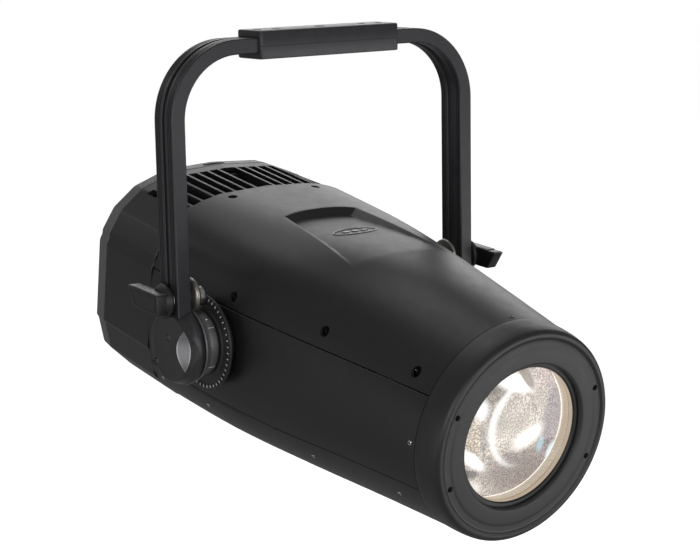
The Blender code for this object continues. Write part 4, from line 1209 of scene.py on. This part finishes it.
def bar_section():
    """The extruded bar's section: x across, y outwards, with fine ribs beside a groove on both faces."""
    half, deep = BAR_THICK / 2, BAR_DEPTH / 2
    lip, pitch, rib = 3.0, 2.7, 1.3

    def face(out, groove, sink):
        side = math.copysign(1.0, out)
        edge = [(-deep, out - side), (-deep + 1.0, out)]
        x = -deep + lip
        while x + pitch < -groove - 0.8:
            edge += [(x, out), (x + 0.2, out - rib * side), (x + 1.1, out - rib * side), (x + 1.3, out)]
            x += pitch
        edge += [(-groove - 0.4, out), (-groove, out - 0.4 * side), (-groove, out - sink * side)]
        return edge + [(-a, b) for a, b in reversed(edge)]

    return face(half, 2.6, 2.4) + list(reversed(face(-half, 5.0, 2.0)))


def yoke_bar():
    bar = swept("bar_yoke", yoke_path(), bar_section(), PAINT, YOKE, sharp=24.0)
    cutters = [drill(BOLT_HOLE, -30, 30, (side * BAR_CENTRE, 0, LEVER_AXIS), "X", YOKE) for side in (-1, 1)]
    cutters.append(drill(MIDDLE_HOLE, BLOCK_BOTTOM - 5, BLOCK_TOP + 5, (0, 0, 0), "Z", YOKE))
    cut(bar, cutters)
    worn_by(bar, "yoke", "yoke_paint", "yoke_bar")


def block_half(name, low, high, node_name):
    """Half of the clamp block, with long chamfers, round corners and a channel for the bar."""
    top = high if node_name.endswith("upper") else low
    inner = low if top == high else high
    step = math.copysign(1.5, top - inner)
    loops = []
    for z, inset in ((inner, 0.0), (top - step, 0.0), (top - step * 0.3, 0.45), (top, 1.5)):
        x, y = BLOCK_HALF_LENGTH - inset * 0.5 - BLOCK_CORNER, BLOCK_HALF_DEPTH - inset - BLOCK_CORNER
        loop = []
        for sx, sy, first in ((1, 1, 0), (-1, 1, 90), (-1, -1, 180), (1, -1, 270)):
            for k in range(7):
                turn = math.radians(first + 15 * k)
                across, out = BLOCK_CORNER * math.cos(turn), BLOCK_CORNER * math.sin(turn)
                loop.append((sx * x + across, sy * y + out, z))
        loops.append(loop)
    half = loft(name, loops, PAINT, YOKE, sharp=24.0)
    reach, room = BLOCK_HALF_LENGTH + 10, BAR_DEPTH / 2 + FIT
    low_corner, high_corner = (-reach, -room, BAR_TOP - BAR_THICK - FIT), (reach, room, BAR_TOP + FIT)
    cut(half, [block("channel", low_corner, high_corner, PAINT, YOKE, 0)])
    holes = [drill(MIDDLE_HOLE, BLOCK_BOTTOM - 5, BLOCK_TOP + 5, (0, 0, 0), "Z", YOKE)]
    if top == high:
        holes += [drill(radius, BAR_TOP - 5, BLOCK_TOP + 5, (side * x, 0, 0), "Z", YOKE)
                  for x, radius in BLOCK_HOLES for side in (-1, 1)]
    cut(half, holes)
    worn_by(half, "yoke", "yoke_paint", node_name)


def clamp_block():
    block_half("block_top_half", BLOCK_SEAM + 0.15, BLOCK_TOP, "block_upper")
    block_half("block_bottom_half", BLOCK_BOTTOM, BLOCK_SEAM - 0.15, "block_lower")
    for side, x in (("left", -BLOCK_HOLES[1][0]), ("right", BLOCK_HOLES[1][0])):
        outline = ((0, BAR_TOP + 0.6), (4, BAR_TOP + 0.6), (4, BLOCK_TOP - 2), (2.3, BLOCK_TOP - 2),
                   (2.1, BLOCK_TOP - 4.4), (0, BLOCK_TOP - 4.4))
        screw = spun(f"block_bolt_{side}", outline, DARK_STEEL, YOKE, (x, 0, 0), "Z", 36, 0.3)
        worn_by(screw, "yoke", "black_steel", f"block_screw_{side}")


def scoop_point(sign, along, z, lift=0.0):
    """A point on the floor of the scoop in the cap's front: along it from its outer end, and z up."""
    rise = SCOOP_RADIUS - math.sqrt(SCOOP_RADIUS**2 - z * z)
    flat = SCOOP_START + SCOOP_WAY * along + SCOOP_OUT * (rise + lift)
    return (sign * flat.x, -flat.y, z)


def scoop_cutter(sign):
    """The round cutter whose side sweeps the scoop's floor."""
    loops = []
    for along in (-30.0, 60.0):
        middle = SCOOP_START + SCOOP_WAY * along + SCOOP_OUT * SCOOP_RADIUS
        loop = []
        for k in range(96):
            turn = math.tau * k / 96
            flat = middle + SCOOP_OUT * SCOOP_RADIUS * math.cos(turn)
            loop.append((sign * flat.x, -flat.y, SCOOP_RADIUS * math.sin(turn)))
        loops.append(loop)
    return loft("scoop", loops, PAINT, YOKE)


def scoop_lining(name, sign, near, far, skin, lift, tall):
    """A thin almond on the scoop's floor, pointed at both ends, from its outer edge to its inner one."""
    steps, tip, loops = 40, 12.9, []
    for k in range(steps + 1):
        t = math.sin(math.pi * (k / steps - 0.5)) * 0.992
        z = SCOOP_HALF * tall * t
        out, back = (middle + (tip - middle) * t * t for middle in (near, far))
        loops.append([scoop_point(sign, along, z, height) for along, height in
                      ((out, lift), (back, lift), (back, -0.6), (out, -0.6))])
    return loft(name, loops, skin, YOKE)


def end_cap(side, sign):
    """The round cap: a flat face with a thin rim, a pocket for the bar, and a scoop with its lining."""
    outline = (
        (0, CAP_FACE - 0.5), (30.6, CAP_FACE - 0.5, 0.3), (31.2, CAP_FACE, 0.3), (34.2, CAP_FACE, 0.8),
        (35.2, CAP_FACE - 1.6, 0.8), (36.6, CAP_LIP + 9, 2.5), (37.8, CAP_LIP + 4.4, 1.0),
        (39.4, CAP_LIP + 3.2, 1.0), (40, CAP_LIP, 1.2), (39.2, CAP_LIP - 3.6, 0.8), (36, CAP_LIP - 4, 0.4),
        (0, CAP_LIP - 4),
    )
    cap = spun(f"cap_{side}", outline, CAP, YOKE, axis="X", steps=128, radius=0.5, side=sign)
    room, deep, middle = BAR_THICK / 2 + FIT, BAR_DEPTH / 2 + FIT, sign * BAR_CENTRE
    low, high = (middle - room, -deep, BAR_END - FIT), (middle + room, deep, 60)
    cut(cap, [block("pocket", low, high, PAINT, YOKE, 0)])
    cut(cap, [scoop_cutter(sign)])
    places = [(y if sign < 0 else -y, z) for y, z in CAP_SCREWS]
    floor = CAP_FACE - 2.6
    start, end = ends(sign, floor, CAP_FACE + 3)
    cut(cap, [drill(3.4, start, end, (0, y, z), "X", YOKE) for y, z in places])
    worn_by(cap, "yoke", "yoke_paint", f"end_cap_{side}")
    places = [((sign * floor, y, z), (sign, 0, 0)) for y, z in places]
    # The cap screws take the pan's mid grey in place of blackened steel: a painted highlight on their heads.
    screws = at_places(f"cap_screws_{side}", screw_seed(2.9, 2.0, 1.5), places, PAN, YOKE)
    worn_by(screws, "yoke", "black_steel")
    # The dark almond named shade is painted shade, where the scoop's wall shades its floor; the lining and its
    # bright edge lie over it.
    for part, near, far, skin, lift, tall, slot in (
        ("shade", 1.5, 22.4, DISC, 0.12, 1.0, "black_steel"),
        ("edge", 0.2, 16.9, STEEL, 0.3, 1.0, "aluminium"),
        ("lining", 1.6, 15.6, SILVER, 0.45, 0.93, "aluminium"),
    ):
        worn_by(scoop_lining(f"cap_{part}_{side}", sign, near, far, skin, lift, tall), "yoke", slot)


def hub(side, sign):
    """The bearing hub: a flange behind the cap, then the barrel with two index lines."""
    bore = SHAFT_RADIUS + 0.5
    outline = (
        (bore, 171.4), (32, 171.4, 0.3), (32, 169.6, 0.3), (37.5, 169.6, 0.8), (37.5, 167.2, 0.6),
        (35.4, 166.2, 0.5), (33.4, 165.6, 0.8), (HUB_RADIUS, 163, 0.5), (HUB_RADIUS, 161.4, 0.3),
        (32.5, 161.2, 0.2), (32.5, 160.6, 0.2), (HUB_RADIUS, 160.4, 0.3), (HUB_RADIUS, 153.4, 0.5),
        (32.2, 152.0, 0.5), (bore, 152.0),
    )
    barrel = spun(f"hub_barrel_{side}", outline, BARREL, YOKE, axis="X", steps=128, radius=0.3, side=sign)
    worn_by(barrel, "yoke", "yoke_paint", f"hub_{side}")
    lines = []
    for z in (19.5, -20.5):
        y = -math.sqrt(HUB_RADIUS**2 - z * z)
        lines.append(((sign * 157.2, y, z), (0, y, z)))
    seed = block("line_seed", (-3.6, -0.35, -0.25), (3.6, 0.35, 0.18), PALE, Matrix(), 0.1)
    worn_by(at_places(f"hub_lines_{side}", seed, lines, PALE, YOKE), "yoke", "yoke_paint")
    y, z = -18.6, 27.2
    places = [((sign * 157, y, z), (0, y, z))]
    screw = at_places(f"hub_screw_{side}", screw_seed(2.2, 1.0, 1.1), places, STEEL, YOKE)
    worn_by(screw, "yoke", "steel")


def washer(side, sign):
    """The dished bare washer inside the bar."""
    outline = ((5.4, 171.7), (9.5, 171.7, 1.0), (10.5, 168.6, 1.5), (16.5, 166.4, 2.0), (18.4, 163.6, 0.8),
               (17.6, 161.4, 0.8), (13.0, 160.2, 2.0), (5.4, 160.0))
    made = spun(f"washer_{side}", outline, BARE, YOKE, (0, 0, LEVER_AXIS + 2.0), "X", 72, 0.3, side=sign)
    cut(made, [drill(38.1, -220, 220, (0, 0, 0), "X", YOKE, 96)])
    worn_by(made, "yoke", "aluminium", f"clamp_washer_{side}")


def lever(side, sign):
    """Clamp lever: a round hub, an arm with a slanted tip and sunk outlines, and the clamp bolt."""
    turn = Matrix.Rotation(math.radians(LEVER_TILT), 4, "X")
    place = YOKE @ Matrix.Translation((0, 0, LEVER_AXIS * MM)) @ turn
    base = CAP_FACE + 1.0
    outline = ((0, base), (15.6, base, 0.6), (17.2, base + 1.4, 1.0), (17.4, base + 3.4, 2.0),
               (14.4, base + 8.6, 2.0), (0, base + 9.0))
    hub_part = spun(f"lever_hub_{side}", outline, NYLON, place, axis="X", steps=72, radius=0.6, side=sign)
    heading, near, far = -sign, base + 6.3, base + 18.8
    loops = []
    for low_reach, high_reach, low, high in (
        (-14.5, -13.0, -10.4, 10.0), (20.0, 20.0, -10.4, 9.8), (31.3, 42.8, -10.2, 9.2),
    ):
        corners = ((near, low_reach, low), (far, low_reach, low), (far, high_reach, high),
                   (near, high_reach, high))
        loops.append([(sign * x, heading * reach, z) for x, reach, z in corners])
    arm = softened(loft(f"arm_{side}", loops, NYLON, place), 1.0, 3, 25.0)
    cut(hub_part, [arm], "UNION")
    cutters = [outline_groove(LEVER_OUTLINE, sign, heading, level, place) for level in (near, far)]
    x0, x1 = ends(sign, near - 1, far + 1)
    y0, y1 = ends(heading, 29.8, 30.8)
    cutters.append(block("notch", (x0, y0, 8.6), (x1, y1, 12), NYLON, place, 0))
    cut(hub_part, cutters)
    worn_by(hub_part, f"{side}_lever", "lever_plastic", f"lever_{side}")
    x0, x1 = ends(sign, near + 0.9, far - 0.9)
    # The pale pad and tip on the arm's top are painted highlight, a lit copy of the lever's nylon.
    for part, start, end, low, high in (("pad", -12.0, 29.2, 9.2, 10.35), ("tip", 31.4, 40.4, 8.9, 9.75)):
        y0, y1 = ends(heading, start, end)
        pad = block(f"lever_{part}_{side}", (x0, y0, low), (x1, y1, high), HIGHLIGHT_NYLON, place, 0.4)
        worn_by(pad, f"{side}_lever", "lever_plastic")
    outline = ((0, DISC_OUTER - 1), (9, DISC_OUTER - 1, 0.6), (10, DISC_OUTER + 0.4, 0.6), (10, 158.0, 0.6),
               (9, 158.5, 0.4), (5, 158.5, 0.2), (5, base + 7.5), (0, base + 7.5))
    bolt = spun(f"clamp_bolt_{side}", outline, STEEL, place, axis="X", steps=48, radius=0.2, side=sign)
    worn_by(bolt, f"{side}_lever", "steel", f"lever_bolt_{side}")
    outline = ((5.3, 187.9), (12.2, 187.9), (12.2, 189.2), (9.4, 190.7), (5.3, 190.7))
    ring = spun(f"lever_washer_{side}", outline, STEEL, place, axis="X", steps=48, radius=0.4, side=sign)
    worn_by(ring, f"{side}_lever", "black_steel")


def outline_groove(corners, sign, heading, level, place):
    """A thin four-sided groove in one of the arm's broad faces, as a cutter."""
    middle = Vector((sum(c[0] for c in corners) / 4, sum(c[1] for c in corners) / 4))
    verts, faces = [], []
    for grow in (0.0, 0.8):
        for depth in (-0.6, 0.6):
            for corner in corners:
                out = Vector(corner) - middle
                spot = middle + out * (1 + grow / out.length)
                verts.append((sign * (level + depth), heading * spot.x, spot.y))
    for k in range(4):
        n = (k + 1) % 4
        faces += [(k, n, 4 + n, 4 + k), (8 + k, 8 + n, 12 + n, 12 + k), (k, n, 8 + n, 8 + k),
                  (4 + k, 4 + n, 12 + n, 12 + k)]
    return shape("groove", verts, faces, NYLON, place)


def index_disc(side, sign):
    """The disc that the lever clamps, with teeth and pale ticks around its rim."""
    outline = (
        (12.4, 151.0), (35, 151.0, 0.4), (36.6, 149.6, 0.4), (43.6, 149.4, 0.3), (44.2, 149.0, 0.2),
        (47.2, 149.0, 0.4), (48, 148.2, 0.5), (48, 146.4, 0.4), (47, 146.0, 0.3), (33, 146.0, 0.5),
        (33, 131.0), (12.4, 131.0),
    )
    disc = spun(f"disc_{side}", outline, DISC, HEAD, axis="X", steps=144, radius=0.3, side=sign)
    worn_by(disc, "head", "ring_black", f"index_disc_{side}")
    seat = HEAD @ Matrix.Translation((sign * 149.0 * MM, 0, 0)) @ Matrix.Rotation(sign * math.pi / 2, 4, "Y")
    for part, inner, outer, half, tall, skin in (
        ("teeth", 43.0, 47.6, 1.7, 1.3, DISC), ("ticks", 44.4, 46.9, 1.1, 1.6, PALE),
    ):
        seed = tooth_seed(f"{part}_seed", inner, outer, half, tall, skin)
        worn_by(round_an_axis(f"disc_{part}_{side}", seed, DISC_TEETH, skin, seat), "head", "ring_black")
    outline = ((0, 124.6), (24, 124.6), (24, 129.5), (SHAFT_RADIUS, 129.5), (SHAFT_RADIUS, 169.4),
               (11, 170.0), (0, 170.0))
    shaft = spun(f"trunnion_{side}", outline, STEEL, HEAD, axis="X", steps=48, radius=0.4, side=sign)
    worn_by(shaft, "head", "steel", f"pivot_shaft_{side}")


def tooth_seed(name, inner, outer, half, tall, skin):
    """A small radial tooth, standing on Z = 0 and reaching from one radius to another."""
    loops = []
    for r, wide in ((inner, half * 0.8), (outer, half)):
        loops.append([(r, -wide, -0.4), (r, wide, -0.4), (r, wide * 0.6, tall), (r, -wide * 0.6, tall)])
    return loft(name, loops, skin, Matrix())


# ---------------------------------------------------------------- carried-over nodes, camera and lights


CARRIED = {
    "chassis": SINK, "guide_rod_left": STEEL, "guide_rod_right": STEEL, "zoom_motor": DARK_STEEL,
    "focus_motor": DARK_STEEL, "iris_frame": NYLON, "wheel_motor": DARK_STEEL, "condenser_lens": COATED,
    "led_board": BOARD, "heat_sink": SINK, "fan_frame": NYLON, "driver_board": BOARD, "zoom_carriage": NYLON,
    "focus_carriage": NYLON, "zoom_lens": COATED, "focus_lens": COATED, "zoom_screw": BRASS,
    "focus_screw": BRASS, "iris_ring": STEEL, "colour_wheel": BARE, "fan_rotor": NYLON,
}


def dress_carried_nodes():
    for name, skin in CARRIED.items():
        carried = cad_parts[name]
        for slot in carried.material_slots:
            slot.material = skin


def studio():
    """A pale floor well under the hanging spot, a white sky, and soft lamps."""
    reach = 9000
    corners = [(-reach, -reach, 0), (reach, -reach, 0), (reach, reach, 0), (-reach, reach, 0)]
    floor = shape("floor", corners, [(0, 1, 2, 3)], studio_white(), Matrix.Translation((0, 0, FLOOR_LEVEL)))
    floor.visible_diffuse = False
    floor.visible_glossy = False
    world = bpy.data.worlds.new("studio")
    bpy.context.scene.world = world
    world.use_nodes = True
    tree = world.node_tree
    path = node(tree, "ShaderNodeLightPath").outputs
    inputs = {"Value": path["Is Glossy Ray"], "To Min": SKY_LIGHT, "To Max": SKY_GLOSS}
    mirrored = node(tree, "ShaderNodeMapRange", inputs).outputs[0]
    inputs = {"Value": path["Is Camera Ray"], "To Min": mirrored, "To Max": 1.0}
    strength = node(tree, "ShaderNodeMapRange", inputs).outputs[0]
    sky = tree.nodes["Background"]
    sky.inputs["Color"].default_value = (1, 1, 1, 1)
    tree.links.new(strength, sky.inputs["Strength"])
    bpy.context.scene.view_settings.view_transform = "Standard"
    for name, place, size, power in LAMPS:
        lamp = bpy.data.lights.new(name, "AREA")
        lamp.shape = "RECTANGLE"
        lamp.size, lamp.size_y = size
        lamp.energy = power
        stand = linked(name, lamp)
        stand.location = place
        stand.visible_camera = False
        aim = Vector((0, 0, -0.3)) - Vector(place)
        stand.rotation_euler = aim.to_track_quat("-Z", "Y").to_euler()


def studio_white():
    made, tree, shader, place = new_finish("studio_white")
    tree.links.new(ramp(tree, noise(tree, place, 1.5), 0.86, 0.9), shader.inputs["Base Color"])
    tree.links.new(ramp(tree, noise(tree, place, 1.5), 0.97, 1.0), shader.inputs["Emission Color"])
    shader.inputs["Emission Strength"].default_value = 0.95
    shader.inputs["Roughness"].default_value = 0.9
    return made


def camera():
    back = Vector((math.sin(AZIMUTH) * math.cos(ELEVATION), -math.cos(AZIMUTH) * math.cos(ELEVATION),
                   math.sin(ELEVATION)))
    right = Vector((math.cos(AZIMUTH), math.sin(AZIMUTH), 0))
    up = back.cross(right)
    c, s = math.cos(ROLL), math.sin(ROLL)
    axes = Matrix((c * right + s * up, c * up - s * right, back)).transposed()
    made = bpy.data.cameras.new("camera")
    made.lens = LENS_MM
    made.sensor_width = 36.0
    stand = linked("camera", made)
    stand.matrix_world = Matrix.Translation(AIM + back * DISTANCE) @ axes.to_4x4()
    bpy.context.scene.camera = stand


camera()
studio()
top_cover()
recess_cups()
side_panels()
bottom_cover()
cover_screws()
badge()
rear_housing()
grille()
rear_pan()
rear_fittings()
keys()
front_parts()
front_glass()
yoke_bar()
clamp_block()
for side, sign in (("left", -1), ("right", 1)):
    end_cap(side, sign)
    hub(side, sign)
    washer(side, sign)
    lever(side, sign)
    index_disc(side, sign)
dress_carried_nodes()
